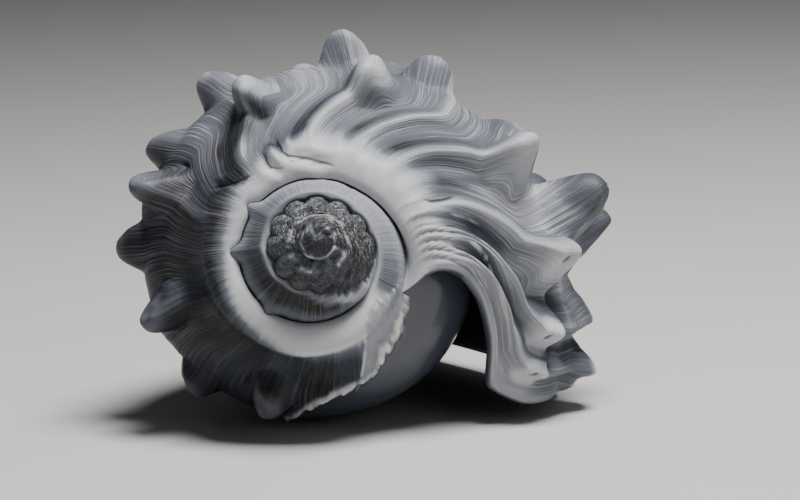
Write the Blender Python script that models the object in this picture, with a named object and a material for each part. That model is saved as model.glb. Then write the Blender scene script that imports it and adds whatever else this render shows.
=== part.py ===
"""A spiny conch shell lying on its aperture, apex towards the viewer.

The shell is one grown piece, so it is one closed mesh. Its surface is drawn the way the animal
builds it: a profile that runs from the suture to the front tip is swept round the axis and grows
as it turns. The rows of one turn end on the first row of the next, which makes the spire. The last
turn ends at the lip, and behind the lip the wall turns inward and follows the hollow back.
"""
import bpy
import bmesh
import numpy as np
from math import radians, pi
from mathutils import Matrix

# Driving dimensions, in millimetres. MM turns them into Blender's metres.
MM = 0.001
LENGTH = 90.0
HOLLOW_DEPTH = 0.3
WALL = 1.9
LIP_WALL = 1.1
AXIS_TILT = radians(15.8)
AXIS_ROLL = radians(-1.7)
LIP_AZIMUTH = radians(-27.0)

# The last turn's columns start to lean here, to end along the lip.
LEAN_START = -0.4

# How finely the surface is drawn, and how many triangles stay after it is thinned.
COLUMNS_PER_TURN = 200
RAMP_ROWS = 10
SIDE_ROWS = 48
LIP_ROWS = 2
TRIANGLES = 9600

# Time runs in turns and is 0 at the lip. Each pair below is a time and a value in millimetres.
FIRST_TURN = -4.6
SUTURE_RADIUS = [(-4.6, 0), (-3.6, 0), (-3.2, 1.3), (-2.8, 2.2), (-2.4, 3.7), (-2.0, 5.3), (-1.75, 6.3),
                 (-1.5, 6.8), (-1.25, 6.5), (-1.0, 8.2), (-0.875, 9.6), (-0.75, 10.8), (-0.625, 11.3),
                 (-0.5, 10.8), (-0.375, 10.3), (-0.25, 10.0), (-0.125, 11.0), (0, 12.5), (0.125, 13.6)]
SUTURE_DEPTH = [(-4.6, 0), (-3.6, 0), (-3.2, 0.75), (-2.8, 1.5), (-2.4, 2.6), (-2.0, 4.0), (-1.5, 5.6),
                (-1.0, 7.8), (-0.75, 9.1), (-0.5, 9.8), (-0.25, 10.1), (0, 11.0), (0.125, 11.6)]
SHOULDER_RADIUS = [(-4.6, 0), (-3.6, 0), (-3.2, 2.2), (-2.8, 3.8), (-2.4, 6.0), (-2.0, 9.0), (-1.5, 13.4),
                   (-1.25, 15.6), (-1.0, 18.0), (-0.875, 18.6), (-0.75, 19.6), (-0.625, 21.2),
                   (-0.5, 22.8), (-0.375, 23.8), (-0.25, 25.4), (-0.125, 27.8), (0, 29.3), (0.125, 30.4)]
SHOULDER_DEPTH = [(-4.6, 0), (-3.6, 0), (-3.2, 1.8), (-2.8, 3.2), (-2.4, 5.0), (-2.0, 7.5), (-1.5, 12.0),
                  (-1.25, 14.4), (-1.0, 16.8), (-0.75, 18.2), (-0.5, 19.0), (-0.25, 20.0), (0, 22.0),
                  (0.125, 22.8)]
BODY_RADIUS = [(-4.6, 0), (-3.6, 0), (-3.2, 2.6), (-2.8, 4.4), (-2.4, 7.0), (-2.0, 11.0), (-1.5, 17.0),
               (-1.25, 19.2), (-1.0, 21.2), (-0.875, 21.0), (-0.75, 22.2), (-0.625, 24.2), (-0.5, 26.4),
               (-0.375, 27.8), (-0.25, 29.4), (-0.125, 32.2), (0, 36.4), (0.125, 38.0)]
CANAL_RADIUS = [(-4.6, 0.5), (-3.2, 0.5), (-2.0, 1.5), (-1.5, 2.6), (-1.0, 4.4), (-0.5, 7.0), (0, 10.0),
                (0.125, 10.8)]
GROWTH = [(-4.6, 0.1), (-3.2, 0.25), (-2.0, 0.45), (-1.0, 0.72), (-0.5, 0.88), (0, 1.0), (0.125, 1.03)]

# Below the shoulder: share of the body's radius, and depth under the shoulder.
SIDE = [(1.0, 7.0), (0.96, 20.0), (0.75, 36.0), (0.45, 52.0)]
CANAL_DEPTH = [(-4.6, 78), (-1.12, 79), (-1.0, 81), (-0.85, 87), (-0.5, LENGTH - 1), (-0.12, 88),
               (0, 84), (0.125, 82)]

# The notch at the front end, where the profile's last point lies inside the canal.
TIP = np.array([6.0, -3.0, -82.0])

# The far side of the hollow: how deep it reaches, and where along the profile it ends.
FLOOR_RADIUS = [(-0.7, 5.5), (-0.45, 5.0), (-0.3, 4.6), (-0.2, 4.3), (-0.1, 4.0), (0, 4.0)]
FLOOR_DEPTH = [(-0.7, 42), (-0.45, 51), (-0.3, 61), (-0.2, 69), (-0.1, 77), (0, 82)]
FLOOR_ROW = [(-0.7, 6.3), (-0.45, 7.1), (-0.3, 7.9), (-0.2, 8.5), (-0.1, 9.2), (-0.05, 9.6), (0, 10)]
AXIS_PILLAR_RADIUS = 3.6

# A growth line's lag in degrees along the profile, and how strong that lag is at each time.
LAG = [(0, 0), (0.5, 8), (1, 15), (1.5, 18.5), (2, 19.5), (2.5, 19), (3, 14.5), (3.5, 3), (4, -9.5),
       (4.5, -8), (5, -4), (5.5, -1), (6, 1), (7, 6), (8, 7), (9, 4), (10, 0)]
LAG_SHARE = [(-4.6, 0.1), (-0.62, 0.15), (-0.35, 0.75), (-0.1, 0.7), (0, 1.0), (0.125, 1.0)]

# Scallops of the inner suture and cusps of the outer one, where older spines were grown over.
SCALLOPS_PER_TURN = 12
SCALLOP = 0.35
CUSPS = [(-0.717, 1.0), (-0.581, 2.0), (-0.486, 1.7)]
CUSP_WIDTH = 0.014

# Spines: time, place along the profile, height, length along the growth, width across it,
# then lean outward, towards the apex and forward.
SPINES = [
    (-0.772, 4.0, 4.0, 3.8, 3.8, 0.80, 0.50, 0.0),
    (-0.624, 4.0, 5.0, 3.9, 3.9, 0.80, 0.50, -0.3),
    (-0.506, 4.0, 5.2, 3.9, 3.9, 0.80, 0.50, -0.3),
    (-0.383, 4.0, 4.0, 3.9, 4.0, 0.50, 0.85, -0.4),
    (-0.280, 4.0, 3.6, 4.2, 4.4, 0.60, 0.75, -0.2),
    (-0.148, 4.1, 5.2, 4.6, 4.8, 0.80, 0.60, -0.2),
    (-0.073, 4.1, 4.9, 4.8, 4.6, 0.90, 0.40, -0.1),
    (-0.022, 4.1, 3.3, 4.8, 4.2, 0.90, 0.30, 0.0),
    (0.004, 4.2, 2.7, 3.8, 4.2, 0.90, 0.20, 0.0),
    (-0.693, 5.2, 3.0, 4.0, 4.0, 0.95, 0.30, -0.2),
    (-0.559, 5.2, 3.7, 4.0, 4.0, 0.95, 0.30, -0.1),
    (-0.469, 5.2, 3.4, 4.0, 4.0, 0.95, 0.30, -0.4),
    (-0.408, 5.2, 4.0, 4.0, 4.2, 0.95, 0.30, -0.3),
    (-0.308, 5.2, 4.8, 4.4, 4.6, 0.95, 0.30, -0.2),
    (-0.243, 5.2, 4.2, 4.8, 4.8, 0.95, 0.30, -0.1),
    (-0.174, 5.2, 1.8, 4.6, 4.8, 0.95, 0.30, 0.0),
    (-0.111, 5.1, 9.0, 5.2, 5.0, 0.95, 0.30, -0.25),
    (-0.094, 5.7, 7.8, 5.0, 5.2, 0.95, 0.10, -0.3),
    (-0.047, 5.4, 1.4, 4.8, 5.4, 1.00, 0.00, 0.0),
    (-0.014, 5.4, 3.2, 4.4, 5.4, 1.00, 0.00, 0.0),
    (-0.339, 6.0, 3.4, 4.4, 4.4, 1.00, 0.00, -0.2),
    (-0.272, 6.0, 4.2, 5.4, 4.8, 1.00, 0.00, -0.2),
    (-0.133, 6.0, 4.0, 5.0, 4.8, 1.00, 0.00, -0.2),
    (-0.065, 6.0, 3.0, 4.6, 4.8, 1.00, 0.00, -0.2),
    (-0.008, 6.1, 2.2, 4.4, 5.2, 1.00, 0.00, -0.1),
]

# Pleats run along the growth lines from each spine of the shoulder up to the collar:
# time at the shoulder, height there, width behind the crest and ahead of it, in turns.
PLEATS = [
    (-0.772, 0.5, 0.040, 0.022), (-0.624, 0.7, 0.040, 0.022), (-0.506, 1.0, 0.040, 0.020),
    (-0.383, 1.3, 0.036, 0.018), (-0.280, 1.5, 0.034, 0.018), (-0.215, 1.0, 0.026, 0.016),
    (-0.154, 2.0, 0.032, 0.018), (-0.078, 2.6, 0.030, 0.016), (-0.024, 2.9, 0.024, 0.011),
    (0.003, 2.3, 0.018, 0.008),
]

COLOUR = (0.50, 0.51, 0.53, 1.0)
ROUGHNESS = 0.42


def table(x, pairs):
    """A smooth curve through the pairs that never swings past them."""
    places, values = np.array(pairs, float).T
    step = np.diff(places)
    slope = np.diff(values) / step
    both = slope[1:] * slope[:-1]
    tangent = np.zeros(len(places))
    bends = both > 0
    tangent[1:-1][bends] = 2 * both[bends] / (slope[1:] + slope[:-1])[bends]
    tangent[0], tangent[-1] = slope[0], slope[-1]
    x = np.clip(x, places[0], places[-1])
    k = np.clip(np.searchsorted(places, x, side="right") - 1, 0, len(step) - 1)
    t = (x - places[k]) / step[k]
    return ((2 * t**3 - 3 * t**2 + 1) * values[k] + (t**3 - 2 * t**2 + t) * step[k] * tangent[k]
            + (3 * t**2 - 2 * t**3) * values[k + 1] + (t**3 - t**2) * step[k] * tangent[k + 1])


def ease(start, end, x):
    """0 before start, 1 after end, and smooth between them."""
    t = np.clip((x - start) / (end - start), 0, 1)
    return t * t * (3 - 2 * t)


def azimuth(time):
    return LIP_AZIMUTH - 2 * pi * time


def suture(time):
    """Radius, radius without its scallops and cusps, and height of the suture."""
    plain = table(time, SUTURE_RADIUS)
    inner = ease(-2.1, -1.9, time) * (1 - ease(-1.15, -1.0, time))
    radius = plain + SCALLOP * inner * np.cos(2 * pi * SCALLOPS_PER_TURN * time)
    for place, size in CUSPS:
        radius = radius + size * np.exp(-((time - place) / CUSP_WIDTH) ** 2)
    return radius, plain, -table(time, SUTURE_DEPTH)


def profile(time):
    """The eleven points that the profile passes through at each time, as an array of x, y, z."""
    r0, plain, w0 = suture(time)
    r4, w4 = table(time, SHOULDER_RADIUS), -table(time, SHOULDER_DEPTH)
    r_next, plain_next, w_next = suture(time + 1)
    late = ease(-1.0, -0.85, time)
    slope = ease(-1.0, -0.7, time)
    flare = ease(-0.16, 0, time)
    r3 = r_next + (plain + (0.45 + 0.1 * slope + 0.05 * flare) * (r4 - plain) - r_next) * late
    w3 = w_next + (w0 + (0.42 + 0.02 * slope) * (w4 - w0) - w_next) * late
    span = np.hypot(plain_next - plain, w_next - w0)
    full = ease(-1.05, -0.85, time)
    reach = 0.5 * (r_next + plain_next) - plain
    r1 = plain + 0.22 * reach * (1 - full) + (1.3 + 1.8 * flare) * full
    w1 = w0 + (0.22 * (w3 - w0) + 0.08 * span) * (1 - full) + 1.3 * full
    r2 = plain + 0.68 * reach * (1 - full) + (4.1 + 2.4 * flare) * full
    w2 = w0 + (0.68 * (w3 - w0) + 0.19 * span) * (1 - full) + 0.9 * full
    radius, growth = table(time, BODY_RADIUS), table(time, GROWTH)
    radii = [r0, r1, r2, r3, r4] + [share * radius for share, _ in SIDE] + [table(time, CANAL_RADIUS)]
    heights = [w0, w1, w2, w3, w4] + [w4 - depth * growth for _, depth in SIDE]
    heights.append(-table(time, CANAL_DEPTH))
    radii, heights = np.stack(radii, -1), np.stack(heights, -1)
    turn = azimuth(time)[..., None]
    points = np.stack([radii * np.cos(turn), radii * np.sin(turn), heights], -1)
    tip = np.broadcast_to(TIP, points.shape[:-2] + (1, 3))
    return np.concatenate([points, tip], -2)


def floor_point(time):
    """Where the hollow's far side ends, near the axis. At the lip it runs out at the tip."""
    radius, turn = table(time, FLOOR_RADIUS), azimuth(time)
    point = np.stack([radius * np.cos(turn), radius * np.sin(turn), -table(time, FLOOR_DEPTH)], -1)
    return point + (TIP - point) * ease(-0.05, 0, time)[..., None]


def through(points, row):
    """A rounded curve through points[..., n, 3], read at row, which runs from 0 to n - 1."""
    before = 2 * points[..., :1, :] - points[..., 1:2, :]
    after = 2 * points[..., -1:, :] - points[..., -2:-1, :]
    points = np.concatenate([before, points, after], -2)
    k = np.clip(np.floor(row).astype(int), 0, points.shape[-2] - 4)
    t = (row - k)[..., None]
    p0, p1, p2, p3 = (np.take_along_axis(points, (k + d)[..., None, None], -2)[..., 0, :]
                      for d in range(4))
    d0, d1, d2 = (np.maximum(np.sqrt(np.linalg.norm(b - a, axis=-1, keepdims=True)), 1e-3)
                  for a, b in ((p0, p1), (p1, p2), (p2, p3)))
    m1 = d1 * ((p1 - p0) / d0 - (p2 - p0) / (d0 + d1) + (p2 - p1) / d1)
    m2 = d1 * ((p2 - p1) / d1 - (p3 - p1) / (d1 + d2) + (p3 - p2) / d2)
    return ((2 * t**3 - 3 * t**2 + 1) * p1 + (t**3 - 2 * t**2 + t) * m1
            + (3 * t**2 - 2 * t**3) * p2 + (t**3 - t**2) * m2)


def smooth_wall(time, row):
    """The shell's form at each time and row, before its pleats and spines."""
    return through(profile(time), row)


def inner_wall(time, row):
    """The older wall that the last turn covers, down to the hollow's far side."""
    points = profile(time)
    floor = floor_point(time + 1)
    middle = 0.4 * points[..., 8, :] + 0.6 * floor
    reach = AXIS_PILLAR_RADIUS / np.hypot(middle[..., 0], middle[..., 1])[..., None]
    middle = middle * np.concatenate([reach, reach, np.ones_like(reach)], -1)
    outside = ease(-1.12, -1.0, time)[..., None]
    points[..., 9, :] = middle + (points[..., 9, :] - middle) * outside
    points[..., 10, :] = floor
    return through(points, row)


def lag(row):
    """How far a growth line trails its suture end, in turns."""
    return table(row, LAG) / 360


def growth_time(time, row):
    """When the shell at this time and row was laid down: one value along each growth line."""
    return time + lag(row) * table(time, LAG_SHARE)


def thumb(distance):
    """A blunt finger's height over its foot, for a distance of 0 at the middle to 1 at the edge."""
    t = 1 - np.clip(distance, 0, 1) ** 2.2
    return t * t * (3 - 2 * t)


def spines(points, time, row):
    """The push that the spines give each point."""
    push = np.zeros_like(points)
    for place, across, height, length, width, outward, upward, forward in SPINES:
        foot = smooth_wall(np.array(place), np.array(across))
        turn = azimuth(place)
        ahead = np.array([np.sin(turn), -np.cos(turn), 0])
        out = np.array([np.cos(turn), np.sin(turn), 0])
        near = (np.abs(time - place) < 0.15) & (np.abs(row - across) < 2.2)
        offset = points[near] - foot
        along = offset @ ahead
        sideways = np.linalg.norm(offset - along[:, None] * ahead, axis=1)
        rise = thumb(np.hypot(along / length, sideways / width))
        scoop = thumb(np.hypot((along / length - 0.5) / 0.6, sideways / (0.55 * width)))
        lean = outward * out + upward * np.array([0, 0, 1]) + forward * ahead
        lean /= np.linalg.norm(lean)
        push[near] += height * (rise - 0.25 * scoop)[:, None] * lean
    return push


def pleats(time, row):
    """Height of the pleats along the growth lines: a slow rise, then a steep fall ahead."""
    grown = growth_time(time, row)
    fade = ease(1.6, 3.9, row) * (1 - ease(4.5, 6.6, row))
    height = np.zeros_like(grown)
    for place, size, behind, before in PLEATS:
        offset = grown - growth_time(np.array(place), np.array(4.0))
        slope = 1 - np.where(offset < 0, -offset / behind, offset / before)
        height = height + size * ease(0, 1, slope)
    return height * fade


def normals(points):
    """Outward directions of a grid of points, whose columns run forward and rows outward."""
    normal = np.cross(np.gradient(points, axis=0), np.gradient(points, axis=1))
    return normal / (np.linalg.norm(normal, axis=-1, keepdims=True) + 1e-12)


def outer_wall(time, row):
    """The outside of the shell, with pleats and spines."""
    points = smooth_wall(time, row)
    push = spines(points, time, row) + normals(points) * pleats(time, row)[..., None]
    return points + push * ease(0, 0.6, row)[..., None]


def rows():
    """Places along the profile: close together at the suture and the shoulder."""
    ramp = np.linspace(0, 1, RAMP_ROWS + 1)
    ramp = 3 * (ramp - 0.12 * np.sin(2 * pi * ramp))
    side = 3 + 7 * np.linspace(0, 1, SIDE_ROWS + 1) ** 1.15
    return np.concatenate([ramp, side[1:]])


class Surface:
    """Collects the grids of points and the faces between them."""

    def __init__(self):
        self.points = []
        self.faces = []
        self.count = 0

    def add(self, points):
        """Adds points and returns their numbers, in the same grid."""
        shape = points.shape[:-1]
        self.points.append(points.reshape(-1, 3))
        numbers = np.arange(self.count, self.count + int(np.prod(shape)))
        self.count += len(numbers)
        return numbers.reshape(shape)

    def skin(self, grid):
        """Adds the four-sided faces of a grid of point numbers. Welded corners make triangles."""
        corners = np.stack([grid[:-1, :-1], grid[1:, :-1], grid[1:, 1:], grid[:-1, 1:]], -1)
        for face in corners.reshape(-1, 4).tolist():
            face = list(dict.fromkeys(face))
            if len(face) > 2:
                self.faces.append(face)


def lip_bead(outer, inner, ahead):
    """Rows of points round the lip's edge, from its outer to its inner side."""
    bead = []
    for step in range(1, LIP_ROWS):
        angle = pi * step / LIP_ROWS
        middle = (outer + inner) / 2 + (outer - inner) / 2 * np.cos(angle)
        reach = np.linalg.norm(outer - inner, axis=-1, keepdims=True) / 2
        bead.append(middle + ahead * reach * np.sin(angle))
    return bead


def shell_surface():
    """The whole skin of the shell as points and faces."""
    surface = Surface()
    row = rows()
    turn = COLUMNS_PER_TURN
    last = int(round(-FIRST_TURN * turn))
    time = (np.arange(last + 1) - last) / turn
    deep = int(round(HOLLOW_DEPTH * turn))
    begin = last - turn

    # The spire's turns, whose last row is the first row of the turn outside it.
    grid_time, grid_row = np.meshgrid(time[:begin], row[:RAMP_ROWS], indexing="ij")
    spire = np.zeros((begin + 1, RAMP_ROWS + 1), int)
    spire[:begin, :RAMP_ROWS] = surface.add(outer_wall(grid_time, grid_row))
    apex = surface.add(np.zeros((1, 3)))[0]

    # The last turn. Its columns lean over to follow the growth line that ends it.
    column, grid_row = np.meshgrid(time[begin:], row[:-1], indexing="ij")
    grid_time = column - ease(LEAN_START, 0, column) * lag(grid_row)
    tip = surface.add(TIP[None])[0]
    whorl = np.full((turn + 1, len(row)), tip)
    whorl[:, :-1] = surface.add(outer_wall(grid_time, grid_row))

    # Weld the turns along the suture, and the innermost one to the apex.
    first_row = np.concatenate([spire[:begin, 0], whorl[:, 0]])
    first_row[last] = whorl[0, RAMP_ROWS]
    first_row[:turn + 1] = apex
    spire[:begin, 0] = first_row[:begin]
    whorl[:, 0] = first_row[begin:]
    spire[begin] = whorl[0, :RAMP_ROWS + 1]
    spire[:begin, RAMP_ROWS] = first_row[turn:last]
    spire[0] = apex

    # The older wall inside the hollow, which runs on from the last turn's first column.
    older, grid_row = np.meshgrid(time[begin - deep:begin], row[RAMP_ROWS + 1:], indexing="ij")
    pillar = surface.add(inner_wall(older, grid_row))
    pillar = np.concatenate([pillar, whorl[:1, RAMP_ROWS + 1:]])

    # The inner side of the outer wall, back from the lip to the hollow's end.
    column = time[last - deep:]
    end_row = table(column, FLOOR_ROW)[:, None]
    share = ease(3, 10, row)[None, :]
    grid_row = np.minimum(row[None, :] * (1 - share) + row[None, :] / 10 * end_row * share, end_row)
    grid_time = column[:, None] - ease(LEAN_START, 0, column[:, None]) * lag(grid_row)
    wall = smooth_wall(grid_time, grid_row)
    lift = pleats(grid_time, grid_row) * ease(-0.3, 0, column)[:, None]
    thick = WALL * (0.55 + 0.45 * ease(0, 1.5, grid_row))
    thick = thick + (LIP_WALL - thick) * ease(-0.08, 0, column)[:, None]
    wall = wall - normals(wall) * (thick - 0.5 * lift)[..., None]
    corner = inner_wall(column - 1, np.full(column.shape, row[RAMP_ROWS + 1]))
    floor = np.concatenate([floor_point(column[:-1]), TIP[None]])
    wall = wall + (corner[:, None] - wall[:, :1]) * (1 - ease(0, 1.6, grid_row))[..., None]
    near_floor = ease(0.72, 1, grid_row / end_row)[..., None] ** 1.5
    wall = wall + (floor[:, None] - wall[:, -1:]) * near_floor
    inside = surface.add(wall[:, 1:-1])
    inside = np.concatenate([pillar[:, :1], inside, pillar[:, -1:]], 1)

    surface.skin(spire)
    surface.skin(whorl)
    surface.skin(pillar)
    surface.skin(inside[:, ::-1])

    # The lip's rounded edge, and the hollow's end, which lies out of sight.
    everything = np.concatenate(surface.points)
    outer, inner = everything[whorl[-1, 1:-1]], everything[inside[-1, 1:-1]]
    ahead = outer - everything[whorl[-2, 1:-1]]
    ahead /= np.linalg.norm(ahead, axis=-1, keepdims=True)
    edge = [whorl[-1]]
    for middle in lip_bead(outer, inner, ahead):
        edge.append(np.concatenate([whorl[-1, :1], surface.add(middle), whorl[-1, -1:]]))
    edge.append(inside[-1])
    surface.skin(np.stack(edge))
    surface.faces.append(list(pillar[0, 1:-1]) + list(inside[0][::-1]))
    return np.concatenate(surface.points), surface.faces


def resting_pose():
    """Turns the shell from its own axes to the way it lies: z points up, the apex at the viewer."""
    upright = Matrix.Rotation(radians(90) - AXIS_TILT, 4, "X")
    return upright @ Matrix.Rotation(AXIS_ROLL, 4, "Z")


def shell_mesh():
    points, faces = shell_surface()
    mesh = bpy.data.meshes.new("shell")
    mesh.from_pydata((points * MM).tolist(), [], [[int(corner) for corner in face] for face in faces])
    mesh.transform(resting_pose())
    form = bmesh.new()
    form.from_mesh(mesh)
    loose = [vertex for vertex in form.verts if not vertex.link_faces]
    bmesh.ops.delete(form, geom=loose, context="VERTS")
    bmesh.ops.triangulate(form, faces=form.faces)
    form.to_mesh(mesh)
    form.free()
    return mesh


def thin_out(shell):
    """Leaves the triangles where the surface bends most."""
    thinner = shell.modifiers.new("thin out", "DECIMATE")
    thinner.ratio = TRIANGLES / len(shell.data.polygons)
    thinner.use_collapse_triangulate = True


def stand_on_ground(shell):
    """Moves the shell so that its box stands on the origin."""
    bpy.context.view_layer.update()
    thinned = shell.evaluated_get(bpy.context.evaluated_depsgraph_get()).data
    corners = np.array([vertex.co for vertex in thinned.vertices])
    low, high = corners.min(0), corners.max(0)
    shell.data.transform(Matrix.Translation((-(low[0] + high[0]) / 2, -(low[1] + high[1]) / 2, -low[2])))


def shell_material():
    material = bpy.data.materials.new("shell")
    material.use_nodes = True
    shader = material.node_tree.nodes["Principled BSDF"]
    shader.inputs["Base Color"].default_value = COLOUR
    shader.inputs["Roughness"].default_value = ROUGHNESS
    return material


def main():
    for thing in list(bpy.data.objects):
        bpy.data.objects.remove(thing)
    collection = bpy.data.collections.new("conch shell")
    bpy.context.scene.collection.children.link(collection)
    shell = bpy.data.objects.new("shell", shell_mesh())
    collection.objects.link(shell)
    shell.data.materials.append(shell_material())
    shell.data.shade_smooth()
    thin_out(shell)
    stand_on_ground(shell)


main()
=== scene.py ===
# %% [markdown]
# # A spiny conch shell
#
# The object is the empty shell of a sea snail, about 9 cm long. It lies on its opening with the
# spire towards the viewer: older turns in the middle, the last and largest turn round them, and on
# the right the flared lip that arches over the opening.
#
# A shell is drawn best the way the animal makes it. The animal adds a thin line of lime along the
# lip, over and over, while the lip travels round the axis and grows. So every point has an age, and
# every fine line, fold, spine and colour streak follows lines of one age. This file keeps that age
# for every point, and uses it for the form, the relief and the colour alike.

# %% Load the frame
from math import radians, degrees, pi, cos, sin

import bpy
import numpy as np
from mathutils import Matrix, Vector
from mathutils.kdtree import KDTree


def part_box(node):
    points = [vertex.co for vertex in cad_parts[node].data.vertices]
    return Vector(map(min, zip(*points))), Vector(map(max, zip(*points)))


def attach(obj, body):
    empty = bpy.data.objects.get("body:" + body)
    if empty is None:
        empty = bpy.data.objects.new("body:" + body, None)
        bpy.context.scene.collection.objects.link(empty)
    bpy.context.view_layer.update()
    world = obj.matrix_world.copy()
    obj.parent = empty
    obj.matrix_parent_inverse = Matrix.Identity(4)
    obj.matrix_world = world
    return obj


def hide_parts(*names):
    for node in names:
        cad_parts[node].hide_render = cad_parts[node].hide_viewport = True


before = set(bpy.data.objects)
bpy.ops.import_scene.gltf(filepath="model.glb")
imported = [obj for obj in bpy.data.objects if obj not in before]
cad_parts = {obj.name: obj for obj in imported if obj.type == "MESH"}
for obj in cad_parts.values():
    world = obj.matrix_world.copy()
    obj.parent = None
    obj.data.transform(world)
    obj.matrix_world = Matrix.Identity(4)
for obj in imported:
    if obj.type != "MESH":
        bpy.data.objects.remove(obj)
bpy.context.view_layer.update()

MM = 0.001

# %% [markdown]
# ## Smooth curves through a few values
#
# The shell's measures change slowly as it grows. Each is written as a short table of pairs, a time
# and a value, and read through a curve that never swings past the values. Time runs in turns: 0 is
# the lip, and -1 is one turn older.

# %% Tables and easing
def table(x, pairs):
    """A smooth curve through the pairs that never swings past them."""
    places, values = np.array(pairs, float).T
    step = np.diff(places)
    slope = np.diff(values) / step
    both = slope[1:] * slope[:-1]
    tangent = np.zeros(len(places))
    bends = both > 0
    tangent[1:-1][bends] = 2 * both[bends] / (slope[1:] + slope[:-1])[bends]
    tangent[0], tangent[-1] = slope[0], slope[-1]
    x = np.clip(x, places[0], places[-1])
    k = np.clip(np.searchsorted(places, x, side="right") - 1, 0, len(step) - 1)
    t = (x - places[k]) / step[k]
    return ((2 * t**3 - 3 * t**2 + 1) * values[k] + (t**3 - 2 * t**2 + t) * step[k] * tangent[k]
            + (3 * t**2 - 2 * t**3) * values[k + 1] + (t**3 - t**2) * step[k] * tangent[k + 1])


def ease(start, end, x):
    """0 before start, 1 after end, and smooth between them."""
    t = np.clip((x - start) / (end - start), 0, 1)
    return t * t * (3 - 2 * t)


def between(x, start, full, fade, end):
    """1 from full to fade, 0 before start and after end, and smooth between them."""
    return ease(start, full, x) * (1 - ease(fade, end, x))


def hump(x, middle, width):
    """1 at the middle, falling smoothly to almost nothing two widths away."""
    return np.exp(-((x - middle) / width) ** 2)


print("a hump one width from its middle:", round(float(hump(1, 0, 1)), 2))

# %% [markdown]
# ## The profile that turns
#
# At any time the outer wall has one profile. It starts at the suture, where it is glued to the turn
# before, crosses the collar and the ramp to the shoulder, where the spines stand, and runs down the
# side to the canal at the front end. Eleven points hold it, numbered 0 to 10, and "row" says where
# on it a point lies: 0 suture, 1 collar, 3 ramp, 4 shoulder, 5 widest place, 9 canal, 10 tip.
#
# Lathe or Screw tools would need one fixed profile. Here it changes as it turns, so it is computed.

# %% Measures of the shell, in millimetres
LENGTH = 90.0
LIP_AZIMUTH = radians(-27.0)
FIRST_TURN = -4.6
SUTURE_RADIUS = [(-4.6, 0), (-3.6, 0), (-3.2, 1.3), (-2.8, 2.2), (-2.4, 3.7), (-2.0, 5.3), (-1.75, 6.3),
                 (-1.5, 6.8), (-1.25, 6.5), (-1.0, 8.2), (-0.875, 9.6), (-0.75, 10.8), (-0.625, 11.3),
                 (-0.5, 10.8), (-0.375, 10.3), (-0.25, 10.0), (-0.125, 11.0), (0, 12.5), (0.125, 13.6)]
SUTURE_DEPTH = [(-4.6, 0), (-3.6, 0), (-3.2, 0.75), (-2.8, 1.5), (-2.4, 2.6), (-2.0, 4.0), (-1.5, 5.6),
                (-1.0, 7.8), (-0.75, 9.1), (-0.5, 9.8), (-0.25, 10.1), (0, 11.0), (0.125, 11.6)]
SHOULDER_RADIUS = [(-4.6, 0), (-3.6, 0), (-3.2, 2.2), (-2.8, 3.8), (-2.4, 6.0), (-2.0, 9.0), (-1.5, 13.4),
                   (-1.25, 15.6), (-1.0, 18.0), (-0.875, 18.6), (-0.75, 19.6), (-0.625, 21.2),
                   (-0.5, 22.8), (-0.375, 23.8), (-0.25, 25.4), (-0.125, 27.8), (0, 29.3), (0.125, 30.4)]
SHOULDER_DEPTH = [(-4.6, 0), (-3.6, 0), (-3.2, 1.8), (-2.8, 3.2), (-2.4, 5.0), (-2.0, 7.5), (-1.5, 12.0),
                  (-1.25, 14.4), (-1.0, 16.8), (-0.75, 18.2), (-0.5, 19.0), (-0.25, 20.0), (0, 22.0),
                  (0.125, 22.8)]
BODY_RADIUS = [(-4.6, 0), (-3.6, 0), (-3.2, 2.6), (-2.8, 4.4), (-2.4, 7.0), (-2.0, 11.0), (-1.5, 17.0),
               (-1.25, 19.2), (-1.0, 21.2), (-0.875, 21.0), (-0.75, 22.2), (-0.625, 24.2), (-0.5, 26.4),
               (-0.375, 27.8), (-0.25, 29.4), (-0.125, 32.2), (0, 36.4), (0.125, 38.0)]
CANAL_RADIUS = [(-4.6, 0.5), (-3.2, 0.5), (-2.0, 1.5), (-1.5, 2.6), (-1.0, 4.4), (-0.5, 7.0), (0, 10.0),
                (0.125, 10.8)]
CANAL_DEPTH = [(-4.6, 78), (-1.12, 79), (-1.0, 81), (-0.85, 87), (-0.5, LENGTH - 1), (-0.12, 88),
               (0, 84), (0.125, 82)]
GROWTH = [(-4.6, 0.1), (-3.2, 0.25), (-2.0, 0.45), (-1.0, 0.72), (-0.5, 0.88), (0, 1.0), (0.125, 1.03)]
SIDE = [(1.0, 7.0), (0.96, 20.0), (0.75, 36.0), (0.45, 52.0)]
TIP = np.array([6.0, -3.0, -82.0])
print(len(BODY_RADIUS), "radii of the side, from", BODY_RADIUS[0][0], "turns to just past the lip")

# %% [markdown]
# The suture isn't a plain spiral. The next turn grew round the knobs of the one before, which gives
# the spire twelve low scallops to a turn, and the last turn has three small cusps.

# %% The suture
SCALLOPS_PER_TURN = 12
SCALLOP = 0.35
# The cusps: time and height, and how wide one is in turns.
CUSPS = [(-0.717, 1.0), (-0.581, 2.0), (-0.486, 1.7)]
CUSP_WIDTH = 0.014


def azimuth(time):
    return LIP_AZIMUTH - 2 * pi * time


def suture(time):
    """Radius, radius without its scallops and cusps, and height of the suture."""
    plain = table(time, SUTURE_RADIUS)
    inner = between(time, -2.1, -1.9, -1.15, -1.0)
    lobes = 1.7 * np.abs(np.cos(pi * SCALLOPS_PER_TURN * time)) - 0.9
    radius = plain + SCALLOP * inner * lobes
    for place, size in CUSPS:
        radius = radius + size * hump(time, place, CUSP_WIDTH)
    return radius, plain, -table(time, SUTURE_DEPTH)


print("the suture at the lip, in mm from the axis:", round(float(suture(0.0)[0]), 1))

# %% [markdown]
# On the last turn the collar stands free, and its points keep their distance to the suture in
# millimetres. An older turn ends where the next one covers it, so its ramp point lies on the next
# suture. The side keeps its shape while it grows.

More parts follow.
